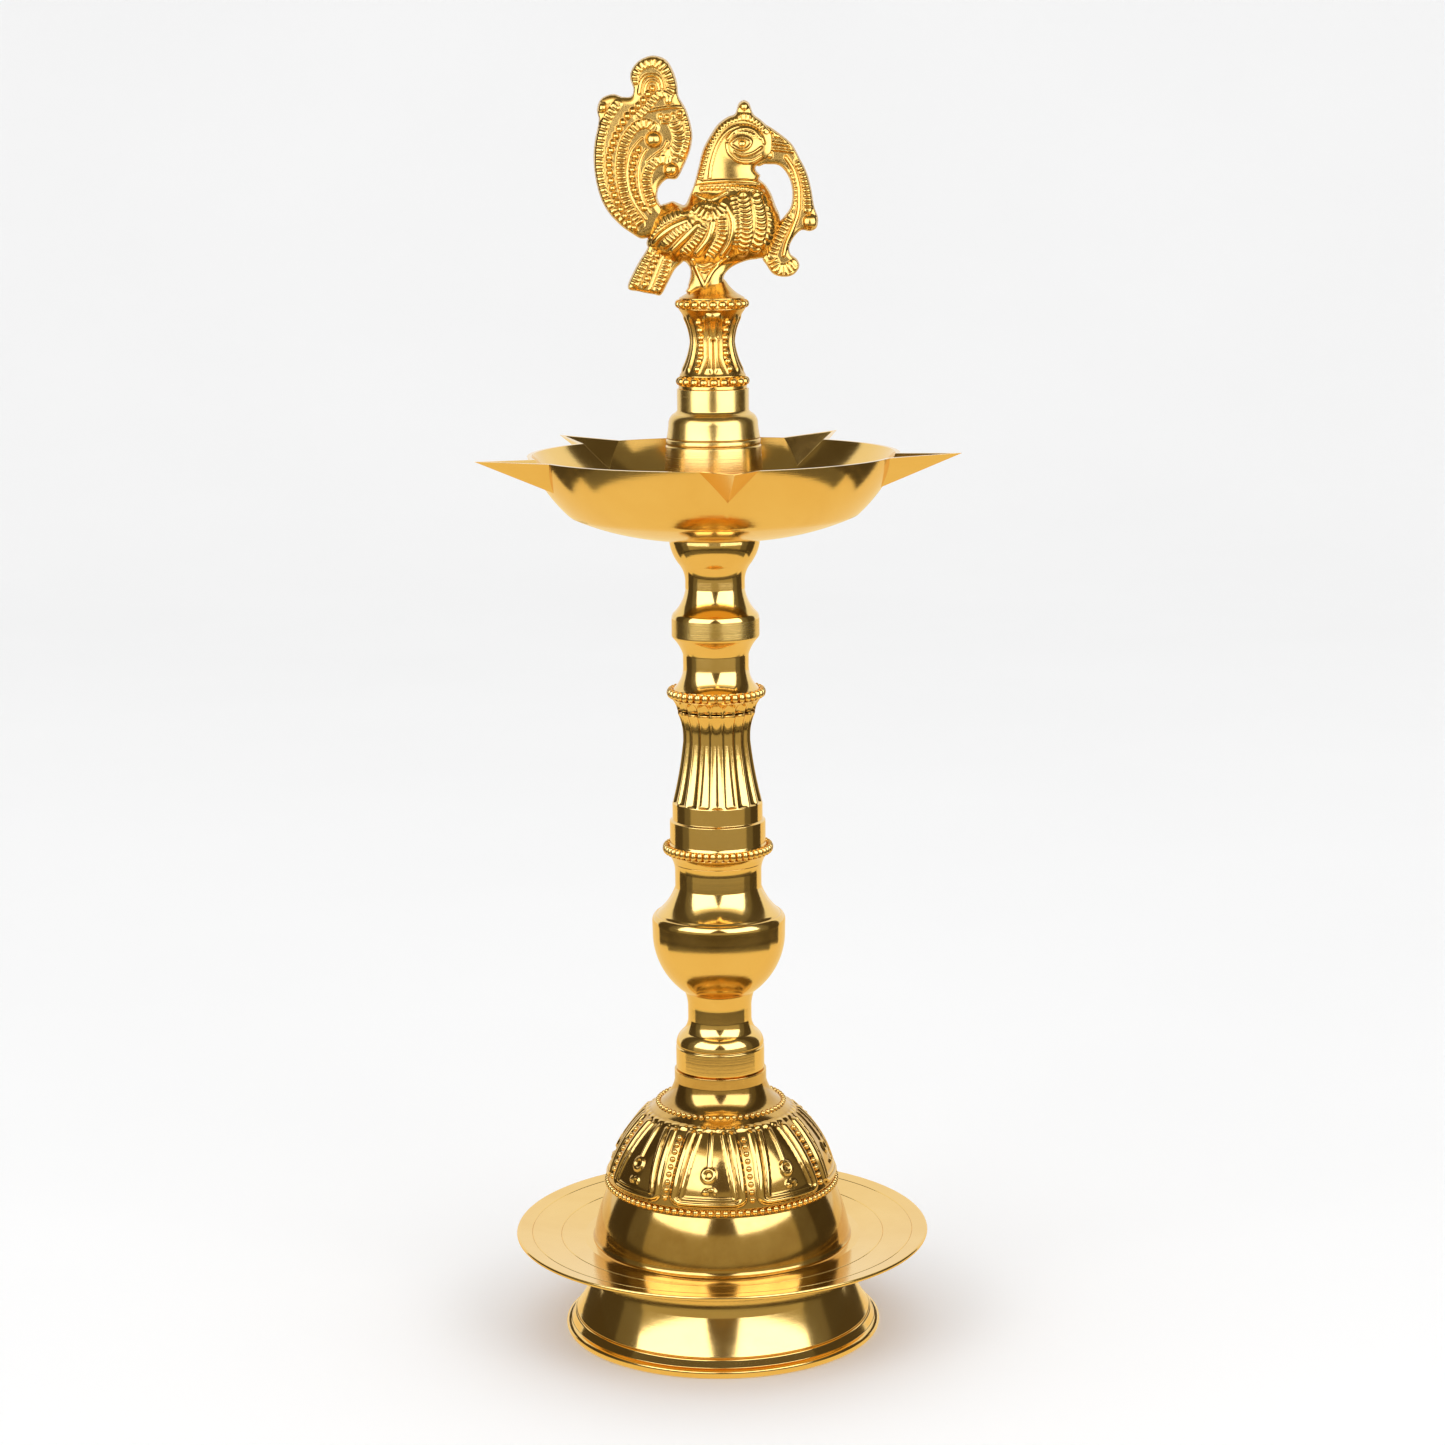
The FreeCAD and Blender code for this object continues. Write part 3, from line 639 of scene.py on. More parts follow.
def soften(obj, width, angle):
    """Round an object's sharp edges and smooth the rest, with the result kept in its mesh."""
    work = bmesh.new()
    work.from_mesh(obj.data)
    bmesh.ops.remove_doubles(work, verts=work.verts, dist=1e-6)
    bmesh.ops.recalc_face_normals(work, faces=work.faces)
    work.to_mesh(obj.data)
    work.free()
    obj.data.polygons.foreach_set("use_smooth", [True] * len(obj.data.polygons))
    bevel = obj.modifiers.new("bevel", "BEVEL")
    bevel.width = width
    bevel.segments = 2
    bevel.limit_method = "ANGLE"
    bevel.angle_limit = math.radians(angle)
    bevel.use_clamp_overlap = True
    bevel.harden_normals = False
    weight = obj.modifiers.new("weight", "WEIGHTED_NORMAL")
    weight.keep_sharp = True
    bake(obj)


def bake(obj):
    """Put what an object's modifiers make into its mesh."""
    graph = bpy.context.evaluated_depsgraph_get()
    done = bpy.data.meshes.new_from_object(obj.evaluated_get(graph), depsgraph=graph)
    obj.modifiers.clear()
    old = obj.data
    obj.data = done
    bpy.data.meshes.remove(old)


# ---------------------------------------------------------------- finial
# Side outlines of the casting's parts, in mm: across, and height above the finial's base
OUTLINES = {
    "tail": [
        (-18.5, 53.5), (-23.5, 51.5), (-27.5, 53.5), (-31.5, 56.5), (-35.5, 61), (-38, 66),
        (-39.5, 72.5), (-40, 79), (-39.5, 84.5), (-38.5, 89), (-38, 92), (-38.5, 95.5),
        (-37, 99), (-33, 100.5), (-29.5, 99.5), (-26.8, 99.7), (-26, 102), (-27, 105.5),
        (-26.5, 108.5), (-24, 111.5), (-19.5, 113.2), (-15, 112), (-12.5, 108.5), (-11, 104),
        (-10.5, 99.5), (-8, 95), (-6.5, 90), (-6, 85.5), (-7, 80.5), (-9, 76),
        (-11.5, 71.8), (-15, 71.5), (-17.5, 69), (-18.2, 65.5), (-16.5, 62), (-13, 58),
    ],
    "stub": [
        (-13, 50), (-20, 51.5), (-22.5, 47.5), (-26, 42), (-29, 35), (-25, 33.5),
        (-20, 32.5), (-17.5, 32.3), (-15, 36.5), (-12.5, 41), (-9, 45),
    ],
    "vine": [
        (15, 91), (19.5, 89.5), (24, 86.5), (28, 83), (30.5, 78.5), (33, 73.5),
        (34.5, 68), (35.5, 62), (36.8, 58), (36.3, 54.7), (34, 53.5), (31, 53.8),
        (28.5, 51.5), (27, 48.5), (27.2, 46), (29.5, 44), (30.3, 41.5), (28.3, 38.8),
        (25, 38), (21.3, 39), (19, 42), (17.5, 45), (19.5, 50.5), (22.5, 55.5),
        (25, 58.5), (27.3, 61.7), (28, 66), (27.3, 70.5), (25.5, 74), (23, 76),
        (19, 76.3), (15.5, 76.8),
    ],
    "bird": [
        (-22.2, 49.3), (-21.5, 52.7), (-20, 56.8), (-18.9, 60), (-17.5, 62.7), (-15.2, 63.6),
        (-13, 64.2), (-10.9, 63.4), (-8.9, 63), (-7.3, 66), (-5.6, 70.3), (-4.2, 75.4), (-2.6, 81.4),
        (-0.2, 85.9), (2.6, 89.9), (5.8, 92.3), (8.5, 93.4), (9.3, 95.5), (10, 97.1), (11.7, 98),
        (13.4, 97.1), (14.2, 95.1), (15.1, 93.1), (17.6, 91.2), (20.1, 88.6), (21.4, 85.9), (21.3, 81),
        (19.6, 78), (16.6, 76.2), (15.5, 75.1), (16.2, 73.7), (17.2, 72.6), (16.9, 71.3), (18.9, 69.4),
        (20.8, 66.4), (22.2, 62.6), (23.7, 58.7), (23.6, 53.6), (21.4, 48.5), (18.8, 45), (16.3, 44.3),
        (12, 43.6), (7.7, 41.9), (5.1, 39.8), (4.1, 37.4), (4.7, 34.8), (5.9, 32.7), (-7.8, 32.7),
        (-8.2, 35.2), (-7.5, 38.2), (-7.4, 40.8), (-8.3, 42.8), (-9.6, 43.6), (-11.1, 42.9),
        (-15, 43.6), (-19.2, 46.8),
    ],
}

# Chased work: kind, half width, pitch, height and centre line, in mm
BANDS = {
    "tail": [
        ("hatch", 1.54, 1.97, 0.75, [(-25.8, 53.4), (-30.2, 57.2), (-34, 61.9), (-36.4, 66.9),
            (-37.8, 72.4), (-38, 78), (-37.5, 83.5), (-36.6, 87.8), (-35.2, 91.6), (-33, 95.1),
            (-31.3, 97)]),
        ("beads", 1.2, 2.57, 1.4, [(-25.5, 54.5), (-27.6, 56.8), (-30.4, 60.9), (-32.5, 65.6),
            (-33.7, 69.8), (-34.4, 74.1), (-34.5, 79.2), (-33.8, 81.8), (-32.9, 84.4), (-31.6, 87.4),
            (-29.9, 90.4), (-27.7, 93.4), (-25.1, 95.5), (-23, 97.6), (-21.2, 99.8), (-19.5, 102)]),
        ("hatch", 1.62, 1.65, 0.95, [(-24, 56.6), (-27.1, 60.9), (-29.1, 65.1), (-30.2, 70.3),
            (-30.6, 75), (-30.3, 79.2), (-29.3, 83.5), (-27.4, 86.9), (-24.8, 89.5), (-21.8, 90.4),
            (-18.8, 88.9)]),
        ("hatch", 1.4, 1.65, 0.8, [(-24.6, 92.8), (-21.4, 95.6), (-18.6, 99), (-16.4, 100.4)]),
        ("ridge", 0.38, 0, 0.7, [(-22.3, 58.3), (-25.5, 62.8), (-27.5, 67.3), (-28.3, 72.4),
            (-28.1, 76.7), (-27, 80.7), (-25, 83.5), (-23.1, 85.4)]),
        ("beads", 1.1, 2.3, 1.3, [(-22.3, 61.1), (-24.5, 64.3), (-25.8, 67.3), (-26.6, 70.7),
            (-26.8, 73.7), (-26.4, 76.7), (-25.5, 79.7), (-24.1, 82.2)]),
        ("ridge", 0.38, 0, 0.7, [(-20.8, 60.4), (-23.1, 64.3), (-24.2, 68.1), (-24.6, 72.4),
            (-24.4, 75.8), (-23.3, 79.2), (-21.8, 81.6)]),
        ("hatch", 1.62, 1.65, 0.9, [(-19.5, 62.6), (-21.2, 66.9), (-21.9, 70.7), (-21.3, 74.1),
            (-19.5, 76.7), (-17.2, 78.2), (-14.6, 78)]),
        ("hatch", 1.8, 1.8, 0.8, [(-25.8, 103.4), (-25.7, 106.8), (-23.4, 109.7), (-19.4, 111),
            (-15.9, 109.5), (-13.6, 106.3), (-12.7, 102.8), (-13.9, 100.1)]),
        ("ridge", 0.6, 0, 0.85, [(-24, 100.6), (-23.2, 104.3), (-21.4, 106.3), (-18.6, 106.5),
            (-16.6, 105), (-16, 102.2)]),
        ("ridge", 0.43, 0, 0.6, [(-22.1, 100.6), (-21.5, 103.2), (-19.9, 104.7), (-17.8, 104),
            (-17.2, 101.9)]),
        ("ridge", 0.51, 0, 0.7, [(-20.7, 94.6), (-17, 95.3), (-12.7, 95.8), (-9.1, 95.7)]),
        ("beads", 0.94, 2.22, 0.85, [(-17.9, 92.9), (-15.3, 92.5), (-13, 92.8), (-10.2, 93.7)]),
        ("ridge", 0.51, 0, 0.7, [(-16.2, 90.8), (-12.8, 90.8), (-9.1, 91.9)]),
        ("scallop", 2.22, 1.88, 0.8, [(-11.9, 90.4), (-10.7, 87.4), (-10.7, 84), (-12.2, 81),
            (-14.6, 79.7)]),
        ("hatch", 1.28, 1.71, 0.7, [(-8.1, 93.4), (-7.2, 89.5), (-7.2, 86.1), (-8.4, 82.7),
            (-10.3, 78.8)]),
        ("ridge", 0.43, 0, 0.6, [(-21.5, 77.5), (-18.9, 79.7), (-15.9, 81.8), (-14.6, 84)]),
    ],
    "bird": [
        ("hatch", 1.33, 1.45, 0.8, [(-4.2, 70.3), (-3.2, 75), (-1.9, 79.7), (-0.2, 84), (2.2, 87.7),
            (5.3, 90.8), (9, 92.1), (13.3, 92.1), (16.7, 90.4), (19.3, 87.7)]),
        ("ridge", 0.51, 0, 0.6, [(-0.4, 71.8), (0.3, 76.7), (2.1, 82.2), (5.1, 86.7), (9, 89),
            (13.3, 89), (16.9, 86.9), (18.4, 83.5)]),
        ("ridge", 0.56, 0, 0.7, [(5.9, 84.9), (8.1, 87.5), (11.6, 88.5), (15, 87.7), (17.2, 85.1)]),
        ("ridge", 0.43, 0, 0.7, [(7, 83.5), (9, 85.1), (11.5, 85.5), (14, 84.1), (12.8, 81.9),
            (10.2, 81.4), (7.7, 82.6), (7, 83.5)]),
        ("ridge", 0.51, 0, 0.7, [(5.6, 83.4), (6.3, 80.4), (9.4, 77.6), (14, 77.2), (17.6, 79)]),
        ("ridge", 0.45, 0, 0.6, [(8.2, 80.6), (11, 79.4), (14.6, 80.2), (17.4, 82)]),
        ("beads", 0.62, 1.35, 0.55, [(6.6, 86.4), (9.2, 87.3), (12.4, 87.2), (15.4, 86)]),
        ("ridge", 0.64, 0, 0.8, [(-5, 70.2), (0.3, 70.7), (6.7, 70.9), (13.1, 70.7), (17.2, 70.2)]),
        ("beads", 0.81, 1.75, 0.8, [(-4, 68.5), (2.4, 68.6), (8.8, 68.7), (15.2, 68), (18.4, 66.6)]),
        ("ridge", 0.51, 0, 0.6, [(-5.1, 66.6), (-0.2, 64.8), (5.4, 67.2)]),
        ("hatch", 2, 1.7, 0.9, [(-5.5, 62), (-1, 59.4), (3, 60.6), (5, 63.6)]),
        ("hatch", 1.2, 1.5, 0.6, [(7.6, 66.2), (8.8, 61), (9.2, 55), (8.2, 49)]),
        ("hatch", 1.71, 1.6, 0.8, [(-9.7, 60.9), (-14.8, 58.7), (-19.1, 56), (-21.5, 52.7)]),
        ("ridge", 1.2, 0, 1, [(-8.6, 57.7), (-13.1, 55.7), (-17.9, 52.2), (-19.6, 50.2)]),
        ("hatch", 1.54, 1.5, 0.8, [(-6.7, 57), (-11.4, 54), (-16, 49.8)]),
        ("ridge", 1.2, 0, 1, [(-4.6, 56.2), (-9.1, 51.7), (-13.2, 47.4)]),
        ("hatch", 1.54, 1.5, 0.8, [(-2.3, 55.7), (-5.5, 50.8), (-8.9, 47)]),
        ("ridge", 1.2, 0, 1, [(0.8, 57), (-0.8, 51.5), (-4.7, 46.3)]),
        ("hatch", 1.62, 1.5, 0.8, [(3.8, 58.3), (3.5, 51.9), (-0.6, 45)]),
        ("ridge", 1.03, 0, 1, [(5.8, 62.6), (7.7, 56.6), (6.7, 50.2), (3.9, 45.5)]),
        ("scallop", 2.22, 1.62, 0.8, [(11.1, 65.4), (11.9, 60), (11.9, 53.6), (10.5, 47.2)]),
        ("scallop", 1.88, 1.97, 0.9, [(15.8, 65.4), (17.1, 59.6), (17, 53.6), (15, 48)]),
        ("scallop", 1.62, 2.22, 0.8, [(20.1, 63), (21.1, 57.9), (20.7, 53.2), (18.9, 48.5)]),
        ("hatch", 1.11, 1.45, 0.6, [(-6.7, 60.4), (-4.9, 62.6), (-1.9, 63.4), (1.3, 62.6)]),
        ("ridge", 0.73, 0, 0.9, [(-6.4, 44), (-4.3, 39.3), (-2.2, 34.4)]),
        ("ridge", 0.73, 0, 0.9, [(5.4, 44.8), (0.6, 40.8), (-2.2, 35.6)]),
        ("ridge", 0.51, 0, 0.5, [(-4.9, 42.5), (-2.6, 42), (0, 42.9)]),
        ("ridge", 0.51, 0, 0.5, [(-3.7, 40.6), (-2.4, 40.3), (-0.9, 40.8)]),
    ],
    "vine": [
        ("ridge", 0.64, 0, 0.9, [(25.8, 78.6), (28.6, 74.1), (30.1, 68.6), (30.2, 63), (29.7, 59.2),
            (27.9, 54.2), (25.8, 49.3), (24.9, 45.5)]),
        ("hatch", 1.45, 1.6, 0.8, [(29.8, 77.1), (32.1, 72.4), (33.1, 66.4), (33.2, 60.9)]),
        ("hatch", 0.68, 1.5, 0.6, [(27.2, 73.7), (28.6, 69.8), (28.8, 65.1), (27.6, 60.9)]),
        ("hatch", 1.62, 1.54, 0.8, [(26.9, 58.3), (24.3, 53.6), (22.1, 49.3), (20.8, 45.5)]),
        ("hatch", 1.88, 1.37, 0.8, [(21, 44), (22.6, 41.2), (25.6, 40.8), (28.4, 42.3)]),
        ("ridge", 0.43, 0, 0.6, [(19, 43.1), (20.9, 39.8), (24.8, 38.7), (28.2, 39.6), (29.5, 41.6)]),
        ("ridge", 0.56, 0, 0.8, [(21.6, 83.5), (24.8, 83), (28.4, 82.6)]),
        ("ridge", 0.56, 0, 0.8, [(21.8, 81.3), (25.2, 80.9), (28.9, 80.4)]),
        ("beads", 1.03, 1.97, 0.8, [(19.9, 84.4), (20.1, 81.8), (20.4, 79.2)]),
        ("ridge", 0.51, 0, 0.6, [(21, 87.4), (24.4, 85.2), (27.7, 81.8), (29.8, 78)]),
    ],
    "stub": [
        ("hatch", 1.62, 1.55, 0.75, [(-21.3, 46.8), (-24.4, 41.2), (-27.3, 35.9)]),
        ("beads", 1.07, 2.14, 1, [(-18.1, 46.8), (-20.6, 41.8), (-23.4, 35.2)]),
        ("hatch", 1.45, 1.71, 0.7, [(-14.9, 45), (-16.5, 39.9), (-18.9, 34.4)]),
        ("ridge", 0.34, 0, 0.5, [(-19.7, 47), (-22.5, 41.4), (-25.4, 35.4)]),
        ("ridge", 0.34, 0, 0.5, [(-16.6, 45.7), (-18.6, 40.8), (-21.2, 34.4)]),
    ],
}

# Round bosses: across, height, radius, rise
BOSSES = {
    "tail": [
        (-36.7, 96, 1.7, 1.6), (-19.2, 85.1, 2.8, 2.6), (-13.4, 74.8, 2.5, 2.3), (-14, 98.1, 1.3, 0.9),
    ],
    "bird": [(10.9, 83.4, 1.3, 0.9), (11.8, 96, 1.5, 0.9)],
    "vine": [(34, 56.8, 2.5, 1.6), (22.7, 86.1, 1.1, 0.7)],
    "stub": [],
}

# Rounded masses under the chasing: across, height, half length, half height, half thickness, tilt
MASSES = [
    (0.2, 54.8, 23.4, 13, 10.4, 6),
    (12.2, 57.6, 12.6, 15, 10.2, 14),
    (7, 76, 12.5, 21, 6.6, 8),
    (11.6, 82.6, 8.6, 8, 7, 0),
    (-1.2, 37, 7.4, 9.5, 5.6, 0),
]
GRAIN = 0.28


def smooth_curve(points, closed=False, step=0.14):
    """Smooth curve through points, sampled evenly."""
    pts = np.array(points, float)
    n = len(pts)
    pieces = []
    for i in range(n if closed else n - 1):
        if closed:
            a, b, c, d = (pts[(i + k) % n] for k in (-1, 0, 1, 2))
        else:
            a, b, c, d = pts[max(i - 1, 0)], pts[i], pts[i + 1], pts[min(i + 2, n - 1)]
        t = np.linspace(0, 1, 24, endpoint=False)[:, None]
        bend = (2 * a - 5 * b + 4 * c - d) * t**2 + (3 * b - a - 3 * c + d) * t**3
        pieces.append(0.5 * (2 * b + (c - a) * t + bend))
    pieces.append(pts[:1] if closed else pts[-1:])
    line = np.concatenate(pieces)
    length = distances(line)[-1]
    return points_at(line, np.linspace(0, length, max(4, int(length / step)) + 1))


def nearest(curve, points):
    """Distance from each point to a sampled curve, and the sample nearest to it."""
    best = np.empty(len(points), int)
    for first in range(0, len(points), 4000):
        part = points[first:first + 4000]
        best[first:first + 4000] = ((part[:, None] - curve[None]) ** 2).sum(axis=-1).argmin(axis=1)
    return np.hypot(*(points - curve[best]).T), best


def chased(kind, half, pitch, rise, points, where):
    """Height that one band of chasing adds at each place."""
    curve = smooth_curve(points)
    height = np.zeros(len(where))
    low, high = curve.min(axis=0) - half, curve.max(axis=0) + half
    near = np.all((where > low) & (where < high), axis=1)
    if not near.any():
        return height
    off, at = nearest(curve, where[near])
    along = at * np.hypot(*(curve[1] - curve[0]))
    if kind == "ridge":
        high_here = rise * hump(off, half)
    elif kind == "beads":
        step = (along % pitch) - pitch / 2
        high_here = rise * np.sqrt(np.clip(1.0 - (step**2 + off**2) / half**2, 0, 1))
    else:
        bow = 0.45 * half * (off / half) ** 2 if kind == "scallop" else 0.0
        wave = np.abs(np.sin(math.pi * (along + bow) / pitch)) ** 0.8
        high_here = rise * (0.15 + 0.85 * wave) * np.clip(1.0 - (off / half) ** 4, 0, 1) ** 0.5
    height[near] = high_here
    return height


def casting(name, thickness, roundness, masses=()):
    """A double-sided relief whose outline is filled with a fine grid and raised by its chasing."""
    rim_line = smooth_curve(OUTLINES[name], closed=True)
    start, end = rim_line[:-1], rim_line[1:]
    turned = np.sign((start[:, 0] * end[:, 1] - end[:, 0] * start[:, 1]).sum())
    xs = np.arange(rim_line[:, 0].min(), rim_line[:, 0].max() + GRAIN, GRAIN)
    zs = np.arange(rim_line[:, 1].min(), rim_line[:, 1].max() + GRAIN, GRAIN)
    inside = np.zeros((len(zs), len(xs)), bool)
    for row, z in enumerate(zs):
        hit = (start[:, 1] > z) != (end[:, 1] > z)
        a, b = start[hit], end[hit]
        crossing = a[:, 0] + (z - a[:, 1]) * (b[:, 0] - a[:, 0]) / (b[:, 1] - a[:, 1])
        inside[row] = (crossing[:, None] < xs[None]).sum(axis=0) % 2 == 1
    cell = inside[:-1, :-1] & inside[1:, :-1] & inside[:-1, 1:] & inside[1:, 1:]
    around = np.zeros(inside.shape, int)
    for dz in (0, 1):
        for dx in (0, 1):
            around[dz:dz + cell.shape[0], dx:dx + cell.shape[1]] += cell
    used = around > 0
    index = np.cumsum(used.ravel()).reshape(used.shape) - 1
    rim = around[used] < 4
    grid_x, grid_z = np.meshgrid(xs, zs)
    flat = np.stack([grid_x[used], grid_z[used]], axis=1)
    depth, at = nearest(rim_line, flat)
    tangent = np.gradient(rim_line, axis=0)
    tangent /= np.hypot(*tangent.T)[:, None]
    outward = turned * np.stack([tangent[:, 1], -tangent[:, 0]], axis=1)[at]
    bulge, edge = 0.45, thickness * 0.30
    flat[rim] = (rim_line[at] - outward * bulge)[rim]
    depth = np.where(rim, 0.0, depth)

    swell = np.full(len(flat), thickness / 2)
    for across, height, long, tall, thick, tilt in masses:
        c, s = math.cos(math.radians(tilt)), math.sin(math.radians(tilt))
        u, v = flat[:, 0] - across, flat[:, 1] - height
        inner = 1.0 - ((c * u + s * v) / long) ** 2 - ((c * v - s * u) / tall) ** 2
        swell = (swell**6 + (thick * np.sqrt(np.clip(inner, 0, 1))) ** 6) ** (1 / 6)
    lift = np.sqrt(1.0 - (1.0 - np.clip(depth / roundness, 0, 1)) ** 2)
    relief = np.zeros(len(flat))
    for band in BANDS[name]:
        relief = np.maximum(relief, chased(*band, flat))
    for across, height, radius, rise in BOSSES[name]:
        off = np.hypot(flat[:, 0] - across, flat[:, 1] - height)
        relief = np.maximum(relief, rise * np.sqrt(np.clip(1.0 - (off / radius) ** 2, 0, 1)))
    half = edge + (swell - edge) * lift + relief * np.clip(depth / 0.8, 0, 1)

    level = level_of("finial")
    count = len(flat)

    def sheet(points, y):
        return np.stack([points[:, 0], y, points[:, 1] + level], axis=1) * MM

    rings = 3
    rim_at = np.flatnonzero(rim)
    rim_index = np.full(count, -1)
    rim_index[rim_at] = np.arange(len(rim_at))
    verts = [sheet(flat, -half), sheet(flat, half)]
    for k in range(1, rings + 1):
        y = -1.0 + 2.0 * k / (rings + 1)
        out = flat[rim_at] + outward[rim_at] * bulge * (1.0 - y * y)
        verts.append(sheet(out, y * edge * np.ones(len(out))))

    def layer(v, k):
        """Vertex number of a rim vertex at ring k, from the front face (0) to the back."""
        if k == 0:
            return v
        if k == rings + 1:
            return v + count
        return 2 * count + (k - 1) * len(rim_at) + rim_index[v]

    rows, cols = np.nonzero(cell)
    corner = [index[rows, cols], index[rows, cols + 1], index[rows + 1, cols + 1], index[rows + 1, cols]]
    front = np.stack(corner, axis=1)
    faces = front.tolist() + (front[:, ::-1] + count).tolist()
    padded = np.pad(cell, 1)
    beyond = [padded[rows + down, cols + across] for down, across in ((0, 1), (1, 2), (2, 1), (1, 0))]
    for k in range(4):
        open_side = ~beyond[k]
        a, b = corner[k][open_side], corner[(k + 1) % 4][open_side]
        for ring in range(rings + 1):
            wall = [layer(b, ring), layer(a, ring), layer(a, ring + 1), layer(b, ring + 1)]
            faces += np.stack(wall, axis=1).tolist()
    pile = Pile()
    pile.add(np.concatenate(verts), faces)
    return pile


PEDESTAL_TURN = math.radians(-88.0)
PEDESTAL = [
    (5.08, 0, 0), (11.9, 0, 0), (11.9, 1.2, 0), (11, 1.6, 0), (11, 3.6, 0), (11.6, 4.6, 0),
    (7.4, 16, -26), (11, 26.6, -20), (11.7, 27.5, 0), (11.2, 28, 0), (11.2, 30.4, 0),
    (11.4, 31.2, 0), (9, 32.6, 0), (5, 36.8, -14), (3, 39, 0), (0.3, 39, 0), (0.3, 13.5, 0),
    (5.08, 13.5, 0),
]


def pedestal_push(theta, r, z):
    """Ribs that hang from a small cup at the front and back of the pedestal, and a welt at each side."""
    a = (theta - PEDESTAL_TURN + TAU / 4) % (TAU / 2) - TAU / 4
    u = np.abs(a * r)
    spread = 1.0 + np.clip(11.0 - z, 0, 6) / 7.0
    start = np.clip((z - 5.6) / 1.2, 0, 1)
    ribs = 0.8 * hump(u - spread, 0.9 * spread) * start * (z < 18.0)
    taper = np.clip((z - 16.0) / 9.0, 0, 1)
    tongue = 0.85 * hump(u, 1.1 + 1.0 * taper) * ((z > 17.0) & (z < 24.0))
    cup = hump(u, 2.7) * hump(z - 25.0, 1.4)
    within = start * np.clip((25.5 - z) / 1.2, 0, 1)
    strip = 0.45 * hump(u - 3.0 * spread, 0.55) * within
    side = 0.7 * hump(np.abs(a) * 8.0 - 8.2, 1.25) * within
    outer = 0.5 * hump(np.abs(a) * 8.0 - 11.4, 1.2) * within
    return np.where(r > 6.6, np.maximum.reduce([ribs, tongue, cup, strip, side, outer]), 0.0)


def pedestal():
    """Beaded and ribbed pedestal of the finial."""
    level = level_of("finial")
    pile = Pile()
    line = trace(PEDESTAL, step=0.42)
    pile.add(*lathe(line, level, 256, pedestal_push))
    pile.bead_ring(11.25, level + 2.6, 1.6, 20, PEDESTAL_TURN)
    pile.bead_ring(11.45, level + 29.2, 1.5, 22, PEDESTAL_TURN)
    outside = line[(line[:, 0] > 6.6) & (line[:, 1] > 4.7) & (line[:, 1] < 26.7)]
    outside = outside[outside[:, 1].argsort()]
    for a in (PEDESTAL_TURN + side + lean for side in (0.0, TAU / 2) for lean in (-0.58, 0.58)):
        for k in range(7):
            z = 7.2 + 2.65 * k
            r = np.interp(z, outside[:, 1], outside[:, 0]) + 0.15
            pile.bead(polar(r, a, z + level), 1.22 * MM)
    return pile


def finial():
    """The peacock: one casting, with the chasing of each part in a mesh of its own."""
    for name, thickness, roundness, masses in (
        ("tail", 8.2, 3.0, ()), ("stub", 7.2, 1.8, ()), ("vine", 5.2, 1.6, ()), ("bird", 8.0, 3.2, MASSES),
    ):
        obj = casting(name, thickness, roundness, masses).make("finial_" + name)
        place(obj, "finial", "finial" if name == "bird" else None, CAST)
    place(pedestal().make("finial_pedestal"), "finial", None, CAST)


# ---------------------------------------------------------------- build

plain_piece("foot_ring", "base", 256)
plain_piece("drip_plate", "base", 256)
plain_piece("lower_stem", "lower_stem")
plain_piece("collar", "collar", material=SATIN)
middle_stem()
upper_stem()
bell()
bowl()
finial()

for stud_name in ("neck_stud", "lower_stud", "upper_stud", "bowl_stud", "finial_stud"):
    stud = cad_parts[stud_name]
    stud.data.materials.clear()
    stud.data.materials.append(SCREW)

# ---------------------------------------------------------------- stage


def stage_material(name, colour, rough):
    """Plain, faintly mottled surface."""
    mat, link, shader, add = nodes_of(name)
    mottle = noise(add, link, add("ShaderNodeTexCoord").outputs["Object"], Scale=3.0, Detail=3.0)
    tone = ramp(add, link, mottle, [(0.3, tuple(c * 0.985 for c in colour)), (0.7, colour)])
    link(tone.outputs["Color"], shader.inputs["Base Color"])
    shader.inputs["Roughness"].default_value = rough
    return mat


def sweep():
    """Pale floor that curves up into a backdrop. The polish doesn't see it."""
    depth, wall, bend = 3.0, 3.2, 1.2
    path = [(-4.5, 0.0), (depth - bend, 0.0)]
    for k in range(1, 25):
        a = math.pi / 2 * k / 24
        path.append((depth - bend + bend * math.sin(a), bend - bend * math.cos(a)))
    path.append((depth, wall))
    verts = [(x, y, z) for x in (-6.0, 6.0) for y, z in path]
    n = len(path)
    faces = [(k, n + k, n + k + 1, k + 1) for k in range(n - 1)]
    obj = new_object("sweep", verts, faces, smooth=True)
    obj.data.materials.append(stage_material("paper", grey(0.93), 0.8))
    obj.visible_glossy = False


def unseen(name, verts, faces, glow):
    """Surface that glows and is seen only in the lamp's polish."""
    obj = new_object(name, verts, faces)
    mat = stage_material(name, grey(0.0), 1.0)
    shader = mat.node_tree.nodes["Principled BSDF"]
    shader.inputs["Emission Color"].default_value = (*glow, 1.0)
    shader.inputs["Emission Strength"].default_value = 1.0
    obj.data.materials.append(mat)
    obj.visible_camera = False
    obj.visible_shadow = False
    obj.visible_diffuse = False


def card(name, reach, span, low, high, glow, top_span=None):
    """Curved card round the lamp. Its span is in degrees from the front, and may differ at the top."""
    steps = 24
    top_span = top_span or span
    verts = []
    for k in range(steps + 1):
        for z, (start, end) in ((low, span), (high, top_span)):
            a = math.radians(start + (end - start) * k / steps)
            verts.append((reach * math.sin(a), -reach * math.cos(a), z))
    faces = [(2 * k, 2 * k + 1, 2 * k + 3, 2 * k + 2) for k in range(steps)]
    unseen(name, verts, faces, glow)


